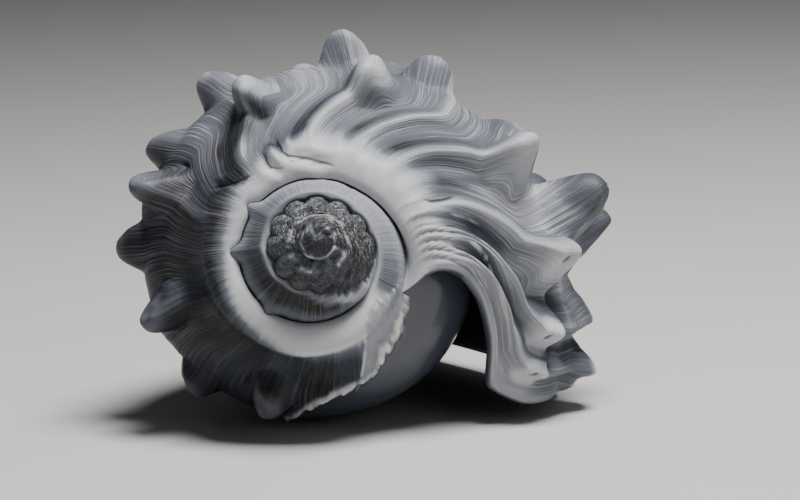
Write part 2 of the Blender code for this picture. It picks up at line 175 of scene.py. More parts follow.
# %% The profile
def profile(time):
    """The eleven points that the profile passes through at each time, as an array of x, y, z."""
    r0, plain, w0 = suture(time)
    r4, w4 = table(time, SHOULDER_RADIUS), -table(time, SHOULDER_DEPTH)
    r_next, plain_next, w_next = suture(time + 1)
    late = ease(-1.0, -0.85, time)
    slope = ease(-1.0, -0.7, time)
    flare = ease(-0.16, 0, time)
    r3 = r_next + (plain + (0.45 + 0.1 * slope + 0.05 * flare) * (r4 - plain) - r_next) * late
    w3 = w_next + (w0 + (0.42 + 0.02 * slope) * (w4 - w0) - w_next) * late
    span = np.hypot(plain_next - plain, w_next - w0)
    full = ease(-1.05, -0.85, time)
    reach = 0.5 * (r_next + plain_next) - plain
    r1 = plain + 0.22 * reach * (1 - full) + (1.3 + 1.8 * flare) * full
    w1 = w0 + (0.22 * (w3 - w0) + 0.08 * span) * (1 - full) + 1.3 * full
    r2 = plain + 0.68 * reach * (1 - full) + (4.1 + 2.4 * flare) * full
    w2 = w0 + (0.68 * (w3 - w0) + 0.19 * span) * (1 - full) + 0.9 * full
    radius, growth = table(time, BODY_RADIUS), table(time, GROWTH)
    radii = [r0, r1, r2, r3, r4] + [share * radius for share, _ in SIDE] + [table(time, CANAL_RADIUS)]
    heights = [w0, w1, w2, w3, w4] + [w4 - depth * growth for _, depth in SIDE]
    heights.append(-table(time, CANAL_DEPTH))
    radii, heights = np.stack(radii, -1), np.stack(heights, -1)
    turn = azimuth(time)[..., None]
    points = np.stack([radii * np.cos(turn), radii * np.sin(turn), heights], -1)
    tip = np.broadcast_to(TIP, points.shape[:-2] + (1, 3))
    return np.concatenate([points, tip], -2)


print("the profile has", profile(np.zeros(1)).shape[1], "points")

# %% [markdown]
# A spline runs through the eleven points. Its knots are spaced by the square root of the distance
# between the points, so it makes no loops where two points lie close together.

# %% A rounded curve through the points
def through(points, row):
    """A rounded curve through points[..., n, 3], read at row, which runs from 0 to n - 1."""
    before = 2 * points[..., :1, :] - points[..., 1:2, :]
    after = 2 * points[..., -1:, :] - points[..., -2:-1, :]
    points = np.concatenate([before, points, after], -2)
    k = np.clip(np.floor(row).astype(int), 0, points.shape[-2] - 4)
    t = (row - k)[..., None]
    p0, p1, p2, p3 = (np.take_along_axis(points, (k + d)[..., None, None], -2)[..., 0, :]
                      for d in range(4))
    d0, d1, d2 = (np.maximum(np.sqrt(np.linalg.norm(b - a, axis=-1, keepdims=True)), 1e-3)
                  for a, b in ((p0, p1), (p1, p2), (p2, p3)))
    m1 = d1 * ((p1 - p0) / d0 - (p2 - p0) / (d0 + d1) + (p2 - p1) / d1)
    m2 = d1 * ((p2 - p1) / d1 - (p3 - p1) / (d1 + d2) + (p3 - p2) / d2)
    return ((2 * t**3 - 3 * t**2 + 1) * p1 + (t**3 - 2 * t**2 + t) * m1
            + (3 * t**2 - 2 * t**3) * p2 + (t**3 - t**2) * m2)


straight = np.array([[0, 0, 0], [1, 0, 0], [2, 0, 0]], float)
print("a quarter of the way along a straight line:", through(straight, np.array(0.5)).round(2))

# %% [markdown]
# All of this together gives the smooth wall: a point in space for any time and row. The suture is
# sunk a little between its two turns.

# %% The smooth wall
# How deep the suture is sunk, in millimetres, and how wide in rows.
GROOVE = [(-4.6, 0.0), (-3.0, 0.10), (-2.3, 0.15), (-2.15, 0.0), (-1.85, 0.0), (-1.7, 0.30), (-1.2, 0.40),
          (-1.0, 0.45), (-0.85, 0.65), (-0.7, 1.10), (-0.2, 1.20), (-0.06, 0.50), (0, 0.0), (1, 0.0)]
GROOVE_WIDTH = 0.22


def smooth_wall(time, row):
    """The shell's form at each time and row, before its pleats and spines."""
    points = through(profile(time), row)
    here = table(time, GROOVE) * hump(row, 0, GROOVE_WIDTH)
    older = 1 - ease(-1.0, -0.97, time)
    beyond = table(time + 1, GROOVE) * older * hump(row, 3, GROOVE_WIDTH) * (row <= 3)
    points[..., 2] -= here + beyond
    return points


print("the lip's widest place, in mm from the axis:", round(float(table(0, BODY_RADIUS)), 1))

# %% [markdown]
# ## Lines of one age
#
# The lip isn't a straight cut. On the ramp it runs ahead of the suture in a wide arch, and at the
# shoulder it falls back, so each growth line is a long S. LAG says by how many degrees a point of
# the profile trails the suture end of its own line. The age of a point is then its time plus that
# lag, and the last few lines settle into the exact line of the lip.

# %% Growth lines
LAG = [(0, 0), (0.5, 8), (1, 15), (1.5, 18.5), (2, 19.5), (2.5, 19), (3, 14.5), (3.5, 3), (4, -9.5),
       (4.5, -8), (5, -4), (5.5, -1), (6, 1), (7, 6), (8, 7), (9, 4), (10, 0)]
LAG_SHARE = [(-4.6, 0.1), (-0.62, 0.15), (-0.35, 0.75), (-0.1, 0.7), (0, 1.0), (0.125, 1.0)]
LEAN_START = -0.4


def lag(row):
    """How far a growth line trails its suture end, in turns."""
    return table(row, LAG) / 360


def growth_time(time, row):
    """When the shell at this time and row was laid down: one value along each growth line."""
    return time + lag(row) * table(time, LAG_SHARE)


def walked(time):
    """How far the lip has travelled by this time, in millimetres at the shoulder."""
    steps = np.linspace(FIRST_TURN, 0.2, 400)
    speed = 2 * pi * np.maximum(table(steps, SHOULDER_RADIUS), 0.8)
    way = np.concatenate([[0], np.cumsum((speed[1:] + speed[:-1]) / 2 * np.diff(steps))])
    return np.interp(time, steps, way)


def age(column, time, row):
    """The growth time, which near the lip turns into the number of the column that follows it."""
    settled = ease(-0.12, -0.03, column)
    return growth_time(time, row) * (1 - settled) + column * settled


print("a growth line trails by at most", max(degree for _, degree in LAG), "degrees")

# %% [markdown]
# ## Random but repeatable unevenness
#
# Nothing that grew is even. "mottle" gives soft random bumps from a fixed table of numbers, so that
# each run makes the same shell. Stretching its two inputs makes streaks instead of spots.

# %% Soft noise
NOISE_SIZE = 512


def mottle(u, v, seed):
    """Soft random values between -1 and 1, with about one bump for each unit step of u and v."""
    lattice = np.random.default_rng(seed).uniform(-1, 1, (NOISE_SIZE, NOISE_SIZE))
    i, j = np.floor(u).astype(int), np.floor(v).astype(int)
    a, b = ease(0, 1, u - i), ease(0, 1, v - j)
    left, right = i % NOISE_SIZE, (i + 1) % NOISE_SIZE
    low, high = j % NOISE_SIZE, (j + 1) % NOISE_SIZE
    near = lattice[left, low] * (1 - a) + lattice[right, low] * a
    far = lattice[left, high] * (1 - a) + lattice[right, high] * a
    return near * (1 - b) + far * b


def rough(u, v, seed):
    """Three sizes of mottling on top of each other, between about -1 and 1."""
    return (mottle(u, v, seed) + 0.5 * mottle(2.1 * u, 2.1 * v, seed + 1)
            + 0.25 * mottle(4.3 * u, 4.3 * v, seed + 2)) / 1.5


print("one mottled value:", round(float(mottle(np.array(0.5), np.array(0.5), 1)), 3))

# %% [markdown]
# ## Spines and pleats
#
# The animal makes a spine by folding a narrow tongue of its mantle out over the lip. The result is a
# blunt thumb, a little hollow on the side that was open, and behind each one of the shoulder a pleat
# of the ramp runs up along the growth line to the collar. Sculpting would lose the growth lines, so
# both are pushed out of the smooth wall as functions of place.

# %% The spines
# For each: time, row, height, length, width, then its lean outward, to the apex and forward.
SPINES = [
    (-0.772, 4.0, 4.0, 3.8, 3.8, 0.80, 0.50, 0.0),
    (-0.624, 4.0, 5.0, 3.9, 3.9, 0.80, 0.50, -0.3),
    (-0.506, 4.0, 5.2, 3.9, 3.9, 0.80, 0.50, -0.3),
    (-0.383, 4.0, 4.0, 3.9, 4.0, 0.50, 0.85, -0.4),
    (-0.280, 4.0, 3.6, 4.2, 4.4, 0.60, 0.75, -0.2),
    (-0.148, 4.1, 5.2, 4.6, 4.8, 0.80, 0.60, -0.2),
    (-0.073, 4.1, 4.1, 4.8, 4.6, 0.90, 0.40, -0.1),
    (-0.022, 4.1, 2.1, 4.8, 4.2, 0.90, 0.30, 0.0),
    (0.004, 4.2, 1.6, 3.8, 4.2, 0.90, 0.20, 0.0),
    (-0.693, 5.2, 3.0, 4.0, 4.0, 0.95, 0.30, -0.2),
    (-0.559, 5.2, 3.7, 4.0, 4.0, 0.95, 0.30, -0.1),
    (-0.469, 5.2, 3.4, 4.0, 4.0, 0.95, 0.30, -0.4),
    (-0.408, 5.2, 4.0, 4.0, 4.2, 0.95, 0.30, -0.3),
    (-0.308, 5.2, 4.8, 4.4, 4.6, 0.95, 0.30, -0.2),
    (-0.243, 5.2, 4.2, 4.8, 4.8, 0.95, 0.30, -0.1),
    (-0.174, 5.2, 1.8, 4.6, 4.8, 0.95, 0.30, 0.0),
    (-0.111, 5.1, 9.0, 5.2, 5.0, 0.95, 0.30, -0.25),
    (-0.094, 5.7, 7.8, 5.0, 5.2, 0.95, 0.10, -0.3),
    (-0.047, 5.4, 0.8, 4.8, 5.4, 1.00, 0.00, 0.0),
    (-0.014, 5.4, 3.2, 4.4, 5.4, 1.00, 0.00, 0.0),
    (-0.339, 6.0, 3.4, 4.4, 4.4, 1.00, 0.00, -0.2),
    (-0.272, 6.0, 4.2, 5.4, 4.8, 1.00, 0.00, -0.2),
    (-0.133, 6.0, 4.0, 5.0, 4.8, 1.00, 0.00, -0.2),
    (-0.065, 6.0, 2.2, 4.6, 4.8, 1.00, 0.00, -0.2),
    (-0.008, 6.1, 2.2, 4.4, 5.2, 1.00, 0.00, -0.1),
]

print(len(SPINES), "spines and lobes, the highest", max(spine[2] for spine in SPINES), "mm")

# %% [markdown]
# A spine is a push of the wall in the direction that it leans to. Its foot is an oval round its
# place, and its younger side is scooped out. The last three lobes of the shoulder are still open.

# %% How a spine stands
# Each open lobe ends in a small pit: its depth in millimetres, and its size as a share of the foot.
PITTED = (-0.073, -0.022, 0.004)
PIT_DEPTH = 0.4
PIT_SIZE = (0.02, 0.15)
# A spine's younger side is scooped out by this share of its height, and none reaches further than this.
SCOOP = 0.25
SPINE_REACH = (0.15, 2.2)


def thumb(distance):
    """A blunt finger's height over its foot, for a distance of 0 at the middle to 1 at the edge."""
    t = 1 - np.clip(distance, 0, 1) ** 2.2
    return t * t * (3 - 2 * t)


def spines(points, time, row):
    """The push that the spines give each point, how near it is to a spine's tip, and to a pit."""
    push = np.zeros_like(points)
    tip, pits = np.zeros(points.shape[:-1]), np.zeros(points.shape[:-1])
    for place, across, height, length, width, outward, upward, forward in SPINES:
        foot = smooth_wall(np.array(place), np.array(across))
        turn = azimuth(place)
        ahead = np.array([np.sin(turn), -np.cos(turn), 0])
        out = np.array([np.cos(turn), np.sin(turn), 0])
        near = (np.abs(time - place) < SPINE_REACH[0]) & (np.abs(row - across) < SPINE_REACH[1])
        offset = points[near] - foot
        along = offset @ ahead
        sideways = np.linalg.norm(offset - along[:, None] * ahead, axis=1)
        away = np.hypot(along / length, sideways / width)
        rise = thumb(away)
        scoop = thumb(np.hypot((along / length - 0.5) / 0.6, sideways / (0.55 * width)))
        lean = outward * out + upward * np.array([0, 0, 1]) + forward * ahead
        lean /= np.linalg.norm(lean)
        pit = (1 - ease(*PIT_SIZE, away)) * (place in PITTED) * (across < 5)
        push[near] += (height * (rise - SCOOP * scoop) - PIT_DEPTH * pit)[:, None] * lean
        tip[near] = np.maximum(tip[near], rise)
        pits[near] = np.maximum(pits[near], pit)
    return push, tip, pits


print("a spine's height a quarter of the way out:", round(float(thumb(0.25)), 2))

# %% [markdown]
# A pleat is one long fold. It follows the growth line from the collar over the shoulder, rises
# slowly on its older side and falls off steeply on its younger one.

# %% The pleats
# For each: time at the shoulder, height there, width behind the crest and ahead of it, in turns.
PLEATS = [
    (-0.772, 0.5, 0.040, 0.022), (-0.624, 0.7, 0.040, 0.022), (-0.506, 1.0, 0.040, 0.020),
    (-0.383, 1.3, 0.036, 0.018), (-0.280, 1.5, 0.034, 0.018), (-0.215, 1.0, 0.026, 0.016),
    (-0.154, 2.0, 0.032, 0.018), (-0.078, 2.6, 0.030, 0.016), (-0.024, 2.9, 0.024, 0.011),
    (0.003, 2.3, 0.018, 0.008),
]


def pleats(time, row):
    """Height of the pleats along the growth lines: a slow rise, then a steep fall ahead."""
    grown = growth_time(time, row)
    fade = ease(1.6, 3.9, row) * (1 - ease(4.5, 6.6, row))
    height = np.zeros_like(grown)
    for place, size, behind, before in PLEATS:
        offset = grown - growth_time(np.array(place), np.array(4.0))
        slope = 1 - np.where(offset < 0, -offset / behind, offset / before)
        height = height + size * ease(0, 1, slope)
    return height * fade


def normals(points):
    """Outward directions of a grid of points, whose columns run forward and rows outward."""
    normal = np.cross(np.gradient(points, axis=0), np.gradient(points, axis=1))
    return normal / (np.linalg.norm(normal, axis=-1, keepdims=True) + 1e-12)


print(len(PLEATS), "pleats, the highest", max(pleat[1] for pleat in PLEATS), "mm")

# %% [markdown]
# ## Fine relief
#
# Between the big forms the wall carries finer ones. Just above the opening thin plates of lime lie
# over each other like roof tiles, where the lip paused. The collar beside the suture is puffy and
# has a few creases. The oldest turns are knobbly. Everywhere else there are low wrinkles along the
# growth lines. Each is a small height in millimetres, added along the wall's normal, so the mesh
# itself has them and the light catches them from every side.

# %% Plates over the opening, and wrinkles
# The row where the smooth collar ends, at each time.
COLLAR_EDGE = [(-1.0, 2.2), (-0.9, 2.9), (-0.825, 2.8), (-0.783, 2.1), (-0.734, 1.8), (-0.692, 1.5),
               (-0.648, 1.3), (-0.586, 1.2), (-0.544, 1.25), (-0.498, 1.45), (-0.45, 1.55), (-0.414, 1.8),
               (-0.375, 2.2), (-0.335, 2.3), (-0.1, 2.2), (0, 2.0)]
# The plates over the opening: when each ends, in turns, and its height.
PLATES = [(-0.0080, 0.42), (-0.0200, 0.52), (-0.0345, 0.52), (-0.0490, 0.50), (-0.0610, 0.18),
          (-0.0800, 0.38), (-0.1050, 0.15)]
# Over how many turns a plate rises and falls, and how much older its end is a row nearer the suture.
PLATE_RISE, PLATE_FALL, PLATE_LEAN = 0.0125, 0.0015, 0.011
# How wide the white crest of a plate is, in turns, and how white for each millimetre of height.
CREST, CREST_WHITE = 0.0010, 2.6
# How strong the wrinkles are at each time.
WRINKLES = [(-4.6, 0.15), (-1.6, 0.4), (-0.8, 0.4), (-0.5, 0.6), (-0.35, 1.2), (0, 1.1)]


def plates(grown, row):
    """Overlapping plates, each ending in a small cliff on its younger side, and their thin crests."""
    lean = PLATE_LEAN * np.clip(2.4 - row, 0, 1.5)
    wander = 0.0012 * mottle(row * 2.2, grown * 9, 11) + 0.0004 * mottle(row * 13, grown * 40, 12)
    height, crest = np.zeros_like(grown), np.zeros_like(grown)
    for place, size in PLATES:
        offset = grown + wander + lean - place
        height += size * ease(-PLATE_RISE, 0, offset) ** 2 * (1 - ease(0, PLATE_FALL, offset))
        crest += CREST_WHITE * size * hump(offset, 0, CREST)
    reach = ease(0.6, 1.5, row) * (1 - 0.45 * ease(3.0, 4.2, row)) * (1 - ease(6.2, 7.6, row))
    chipped = np.clip(0.45 + rough(row * 9, grown * 90, 13), 0, 1) * (1 - ease(2.9, 4.0, row))
    return height * reach, crest * chipped * reach


def wrinkles(grown, row, time):
    """Low uneven ridges along the growth lines, stronger on the younger shell."""
    fine = 0.05 * mottle(grown * 230, row * 1.3, 21) + 0.07 * mottle(grown * 110, row * 0.9, 22)
    broad = 0.20 * mottle(grown * 36, row * 0.8, 23)
    edge = table(time, COLLAR_EDGE)
    reach = ease(edge - 0.5, edge + 0.6, row) * (1 - 0.5 * ease(5.5, 8, row))
    return (fine + broad) * table(grown, WRINKLES) * reach


print(len(PLATES), "plates, the thickest", max(size for _, size in PLATES), "mm")


# %% [markdown]
# The creases of the collar were drawn as short lines: each is a list of time and row pairs with a depth and
# a width in millimetres. A crease is a groove with a swollen bank on either side.

# %% Creases of the collar
CREASES = [
    (0.55, 0.20, [(-0.492, 3.1), (-0.483, 2.93), (-0.478, 2.55), (-0.468, 2.09), (-0.453, 1.80),
                  (-0.44, 1.6)]),
    (0.50, 0.18, [(-0.409, 2.75), (-0.411, 2.09), (-0.414, 1.55), (-0.403, 1.30), (-0.390, 1.18)]),
    (0.70, 0.20, [(-0.388, 3.2), (-0.385, 2.6), (-0.384, 2.09), (-0.377, 1.70), (-0.338, 1.30),
                  (-0.312, 1.12), (-0.292, 1.0)]),
    (0.50, 0.22, [(-0.148, 2.1), (-0.142, 2.35), (-0.139, 2.6), (-0.139, 2.9)]),
]
# The furrow between the two rows of blunt lobes beside the lip.
FURROW = (1.7, 0.85, [(-0.105, 4.60), (-0.085, 4.50), (-0.064, 4.45), (-0.043, 4.46), (-0.022, 4.48),
                      (0.012, 4.48)])
print(len(CREASES), "creases on the collar, and one furrow beside the lip")

# %% [markdown]
# A groove needs the distance from each point of the wall to its line. The line is drawn on the
# smooth wall as a chain of short steps, and a k-d tree finds the nearest one quickly.

# %% The distance to a line on the wall
CREASE_STEPS = 80


def distance_to_line(points, line):
    """How far each point is from a line of time and row pairs, and where along the line.

    The distance is negative on one side of the line, so that it stays smooth across it.
    """
    time, row = np.array(line, float).T
    steps = np.linspace(0, len(line) - 1, CREASE_STEPS)
    knots = range(len(line))
    drawn = smooth_wall(np.interp(steps, knots, time), np.interp(steps, knots, row))
    tree = KDTree(CREASE_STEPS)
    for number, point in enumerate(drawn):
        tree.insert(point, number)
    tree.balance()
    flat = points.reshape(-1, 3)
    nearest = np.array([tree.find(point)[1] for point in flat], int)
    distance, side = np.full(len(flat), np.inf), np.ones(len(flat))
    for start in (np.maximum(nearest - 1, 0), np.minimum(nearest, CREASE_STEPS - 2)):
        piece = drawn[start + 1] - drawn[start]
        along = np.sum((flat - drawn[start]) * piece, 1) / np.sum(piece * piece, 1)
        foot = drawn[start] + np.clip(along, 0, 1)[:, None] * piece
        away = flat - foot
        length = np.linalg.norm(away, axis=1)
        left = piece[:, 0] * away[:, 1] - piece[:, 1] * away[:, 0] > 0
        side = np.where(length < distance, np.where(left, 1.0, -1.0), side)
        distance = np.minimum(distance, length)
    shape = points.shape[:-1]
    return (distance * side).reshape(shape), (nearest / (CREASE_STEPS - 1)).reshape(shape)


beside = smooth_wall(np.array([-0.42]), np.array([2.5]))
apart = abs(float(distance_to_line(beside, [(-0.45, 2.0), (-0.4, 2.0)])[0][0]))
print("half a row on the ramp is", round(apart, 1), "mm")

# %% [markdown]
# The mesh is too coarse for a sharp cleft, so the work is shared. The mesh carries each groove's soft fold
# and the wide furrow, and the material draws the sharp line in the fold. The furrow and the sharp lines are
# also darkened with painted shade.

# %% Grooves of the collar
# How wide a soft fold is at least, in millimetres, and the height of its bank as a share of its depth.
FOLD_WIDTH = 0.65
BANK = 0.35
# Further than this many line widths away, a point counts as far from every line.
FAR = 6.0
# How far around a crease the wall is looked at, in turns and rows.
CREASE_REACH = (0.03, 0.8)


def creases(points, time, row):
    """Height of the grooves and the furrow's painted shade, and the distance to the nearest line in widths
    and its depth.
    """
    height, painted_shade = np.zeros(points.shape[:-1]), np.zeros(points.shape[:-1])
    cleft, depth = np.full(points.shape[:-1], FAR), np.zeros(points.shape[:-1])
    for size, width, line in CREASES + [FURROW]:
        times, rows = np.array(line).T
        band = (time > times.min() - CREASE_REACH[0]) & (time < times.max() + CREASE_REACH[0])
        band &= (row > rows.min() - CREASE_REACH[1]) & (row < rows.max() + CREASE_REACH[1])
        distance, share = distance_to_line(points[band], line)
        ends = between(share, 0, 0.25, 0.7, 1)
        wide = max(width, FOLD_WIDTH)
        groove = hump(distance, 0, wide)
        bank = hump(np.abs(distance), 2 * wide, wide)
        height[band] -= size * (groove - BANK * bank) * ends
        # Only the wide furrow gets painted shade along its groove.
        if width == wide:
            painted_shade[band] = np.maximum(painted_shade[band], groove * ends)
            continue
        apart = distance / width
        nearer = np.abs(apart) < np.abs(cleft[band])
        cleft[band] = np.where(nearer, apart, cleft[band])
        weight = ends * (1 - ease(2.0, 3.5, np.abs(apart)))
        depth[band] = np.where(nearer, weight, depth[band])
    return height, painted_shade, np.clip(cleft, -FAR, FAR), depth


print("a fold is at least", FOLD_WIDTH, "mm wide")

# %% [markdown]
# ## The glaze that the animal lays over its older shell
#
# Where the last turn begins, the body of the animal rested against the shell and covered it with
# smooth, glossy lime. This glaze ends in a thick, ragged white edge, and above it a thin film
# reaches up to the suture.

# %% The glaze and its ragged edge
GLAZE_EDGE = [(3.2, -1.0), (3.33, -0.957), (3.47, -0.926), (3.6, -0.909), (3.8, -0.894), (3.9, -0.865),
              (4.0, -0.842), (4.2, -0.825), (4.55, -0.808), (5.1, -0.79), (6.5, -0.80), (8.0, -0.82),
              (10, -0.86)]
FILM_EDGE = [(0, -0.925), (1.5, -0.919), (1.8, -0.906), (3.1, -0.899), (3.4, -0.889), (3.8, -0.88),
             (4.15, -0.865), (4.55, -0.845), (5.2, -0.80), (6.5, -0.79), (8.0, -0.80), (10, -0.85)]
FILM_TOP = [(-1.04, 3.2), (-1.017, 2.6), (-0.993, 2.1), (-0.958, 1.5), (-0.92, 1.4)]
# The ragged edge runs along the glaze's edge, and the film's rim along the next line. Both hold pairs
# of time and row.
CRUST_LINE = [(-1.0, 3.17), (-0.978, 3.26)] + [(time, row) for row, time in GLAZE_EDGE[1:11]]
FILM_LINE = FILM_TOP[1:] + [(-0.906, 1.8), (-0.899, 3.1), (-0.889, 3.4), (-0.865, 4.15)]
GLAZE_THICKNESS = 0.22
CRUST_HEIGHT, CRUST_WIDTH = 0.85, 0.95
FILM_RIM_HEIGHT, FILM_RIM_WIDTH = 0.20, 0.22
FILM_WRINKLE = 0.18
EDGE_BLUR = 0.003
RAGGED = 0.005


def glaze_facts(points, time, row):
    """Shares of glaze, of film and of the white edge, and how far all three lift each point."""
    ragged = RAGGED * rough(row * 7, time * 60, 31)
    glaze = 1 - ease(-EDGE_BLUR, EDGE_BLUR, time - table(row, GLAZE_EDGE) + 0.6 * ragged)
    glaze = glaze * (row > 3.1) * (time > -1.0001)
    film = 1 - ease(-EDGE_BLUR, EDGE_BLUR, time - table(row, FILM_EDGE) + ragged)
    film = film * ease(-0.12, 0.12, row - table(time, FILM_TOP) + 30 * ragged) * (time > -1.05)

    near = (time < -0.7) & (time > -1.06) & (row < 7)
    there, across = time[near], row[near]
    width = CRUST_WIDTH * (1 - 0.45 * ease(3.58, 3.75, across))
    width = width * (1 + 0.7 * rough(there * 70, across * 3, 35))
    lumps = np.clip(0.80 + 0.80 * rough(there * 130, across * 5, 32), 0.15, 1.5)
    distance = np.abs(distance_to_line(points[near], CRUST_LINE)[0])
    crust = np.zeros(time.shape)
    crust[near] = (1 - ease(0.1 * width, 1.3 * width, distance)) * lumps
    crust = crust * (1 - 0.6 * ease(4.6, 6, row)) * ease(-1.01, -1.0, time)

    lumps = np.clip(0.7 + 0.6 * rough(there * 200, across * 8, 33), 0, 1.3)
    rim = np.zeros(time.shape)
    rim[near] = hump(distance_to_line(points[near], FILM_LINE)[0], 0, FILM_RIM_WIDTH) * lumps
    lift = GLAZE_THICKNESS * np.maximum(glaze, 0.4 * film) + CRUST_HEIGHT * crust
    lift = lift + FILM_RIM_HEIGHT * rim
    lift = lift + FILM_WRINKLE * np.clip(film - glaze, 0, 1) * rough(time * 150, row * 7, 34)
    return glaze, film, np.maximum(crust, 0.7 * rim), lift


print("the white edge is about", CRUST_HEIGHT, "mm high and", CRUST_WIDTH, "mm wide")

# %% [markdown]
# ## Old turns
#
# The oldest turns are worn. A smooth dome is left in the middle, then a ring of knobs, then a ring
# of fine broken ridges that ends in twelve scallops, where the next turn grew round its knobs.

# %% Knobs and ridges of the spire
KNOBS_PER_TURN = 9
# The scalloped line that ends the old ridges leaves the suture here, as pairs of time and row.
SCALLOPED = [(-2.06, 3.0), (-2.0, 2.3), (-1.95, 1.8), (-1.9, 1.3), (-1.825, 0.5), (-1.77, 0.0)]
WORN_RINGS = (2.25, 3.95)
WORN_RING_WIDTH = 0.16


def past_scallops(time, row):
    """How far a point lies beyond the scalloped line, in rows. Negative on the old ridges."""
    lobes = 0.22 * np.abs(np.cos(pi * SCALLOPS_PER_TURN * time)) * (1 - ease(-1.85, -1.77, time))
    beyond = row - table(time, SCALLOPED) - lobes
    return np.where(time < SCALLOPED[0][0], -1.0, beyond)


def worn_rings(points):
    """Two thin light rings near the apex, where the oldest sutures are worn down."""
    x, y = points[..., 0], points[..., 1]
    radius = np.hypot(x, y) + 0.16 * mottle(x * 1.3, y * 1.3, 44)
    rings = sum(np.exp(-((radius - ring) / WORN_RING_WIDTH) ** 2) for ring in WORN_RINGS)
    return rings * (points[..., 2] > -4.0)


print("the worn rings are", " and ".join(str(ring) for ring in WORN_RINGS), "mm from the axis")

# %% [markdown]
# The relief is a sum of low waves: knobs, lumps, lobes and broken ridges inside the scalloped line,
# then a groove and a small step up at the line, and a rounded roll, a trough and fine ribs outside.

# %% Relief of the old turns
# Heights, in millimetres.
KNOB, LUMP, LOBE, BROKEN = 0.26, 0.16, 0.34, 0.15
STEP, STEP_GROOVE, ROLL, TROUGH, RIB, WORN = 0.35, 0.30, 0.42, 0.35, 0.04, 0.12


def old_turns(points, time, row):
    """Relief of the spire's turns."""
    x, y = points[..., 0], points[..., 1]
    knobs = KNOB * np.cos(2 * pi * KNOBS_PER_TURN * time) * hump(row, 1.1, 0.6)
    knobs = knobs * between(time, -3.5, -3.2, -2.35, -2.1)
    lumps = LUMP * mottle(x * 1.25, y * 1.25, 43) * (1 - ease(-2.6, -2.3, time))
    lobes = LOBE * np.abs(np.cos(pi * SCALLOPS_PER_TURN * time)) * ease(1.4, 2.5, row)
    lobes = lobes * between(time, -3.0, -2.8, -2.1, -2.0)
    broken = BROKEN * rough(time * 45, row * 6, 41) * between(time, -3.0, -2.7, -2.05, -1.95)
    old = knobs + lumps + lobes + broken - WORN * worn_rings(points)

    beyond = past_scallops(time, row)
    ring = between(time, -2.06, -2.0, -1.15, -1.0)
    edge = STEP * ease(0.0, 0.35, beyond) - STEP_GROOVE * hump(beyond, 0, 0.10)
    edge = edge * between(time, -2.06, -2.0, -1.82, -1.76)
    roll = ROLL * hump(beyond, 0.62, 0.42) * ring
    trough = TROUGH * hump(row, 1.9, 0.5) * between(time, -1.85, -1.75, -1.5, -1.35)
    ribs = RIB * mottle(time * 140, row * 0.8, 42) * ease(0.9, 1.5, beyond) * ring
    return old + edge + roll - trough + ribs


print(KNOBS_PER_TURN, "knobs and", SCALLOPS_PER_TURN, "scallops to a turn")

# %% [markdown]
# ## The rolled collar
#
# The collar is a puffy roll that stands above the turn before and leans over the suture. The lean is
# a push towards the axis and not along the normal, because it has to hang over.

# %% The collar's inner edge
# How far the collar leans over the suture beside it, in millimetres.
OVERHANG = [(-1.0, 0.0), (-0.9, 0.2), (-0.7, 0.4), (-0.5, 0.5), (-0.2, 0.45), (-0.08, 0.2), (0, 0.0)]


def overhang(time, row):
    """Inward push of the collar's inner edge."""
    return table(time, OVERHANG) * hump(row, 0.36, 0.22) * (row > 0)


COLLAR_ROLL = 0.45


def collar_roll(time, row):
    """The rounded inner edge of the collar, which stands above the turn before."""
    return COLLAR_ROLL * hump(row, 0.62, 0.34) * between(time, -0.95, -0.80, -0.15, -0.03)


def suture_fade(time, row):
    """0 where two turns are joined, so that the relief leaves the joint alone."""
    older = 1 - ease(-1.0, -0.93, time)
    return ease(0, 0.35, row) * (1 - ease(2.4, 3.0, row) * older)


print("the collar leans over by up to", max(push for _, push in OVERHANG), "mm")

# %% [markdown]
# ## Where the pigment lies on the last turn
#
# The young shell is white, and the older half of the last turn is slate. The pigment keeps off the smooth
# collar, gathers behind each pleat and runs in blotches along the growth lines. It is kept as one number for
# each point, 0 for white lime and 1 for the darkest slate, and painted shade is kept in the same number:
# behind the pleats, low on the left, on the young side at the right and on the lobes beside the lip. A
# painted picture would need unwrapping, and would stretch over the spines.

# %% Pigment of the last turn
# From -0.9 to -0.6, low on the shell's left, the full value is partly painted shade.
PIGMENT_BY_TIME = [(-1.0, 0.80), (-0.9, 1.0), (-0.6, 1.0), (-0.47, 0.85), (-0.40, 0.72), (-0.30, 0.60),
                   (-0.20, 0.56), (-0.12, 0.36), (-0.05, 0.18), (0, 0.0)]
# Small dark blotches beside the collar, as time and row pairs, and their size in the same units.
BLOTCHES = [(-0.443, 3.4), (-0.429, 3.4), (-0.416, 3.4), (-0.407, 3.5), (-0.387, 3.6), (-0.392, 2.5),
            (-0.35, 2.8)]
BLOTCH_SIZE = (0.008, 0.22)
# Dark troughs between the young pleats.
TROUGH_LINES = [[(-0.173, 2.75), (-0.155, 3.25), (-0.143, 3.75)],
                [(-0.114, 2.9), (-0.103, 3.2), (-0.091, 3.4), (-0.080, 3.6)]]
# How dark each kind of mark is.
# The streaks behind the pleats are pigment with painted shade in it, and the crests are lightened partly by
# painted highlight.
PLEAT_SHADE, CREST_LIGHT = 0.55, 0.55
BLOTCH_SHADE, TROUGH_SHADE = 0.5, 0.36
# The blue of the young side at the right and the darkening of the lobes beside the lip are partly painted
# shade.
OUTER_BLUE, ARCH_SHADE, LOBE_SHADE = 0.42, 0.14, 0.32


def pleat_shades(grown):
    """The dark streaks just behind each pleat's crest, pigment with painted shade in it, and the crests,
    which stay light, partly as painted highlight.
    """
    dark, crest = np.zeros_like(grown), np.zeros_like(grown)
    for place, size, behind, _ in PLEATS:
        offset = (grown - growth_time(np.array(place), np.array(4.0))) / behind
        dark = np.maximum(dark, hump(offset, -0.60, 0.32) * min(1, size / 1.2))
        crest = np.maximum(crest, hump(offset, 0.05, 0.16))
    return dark, crest


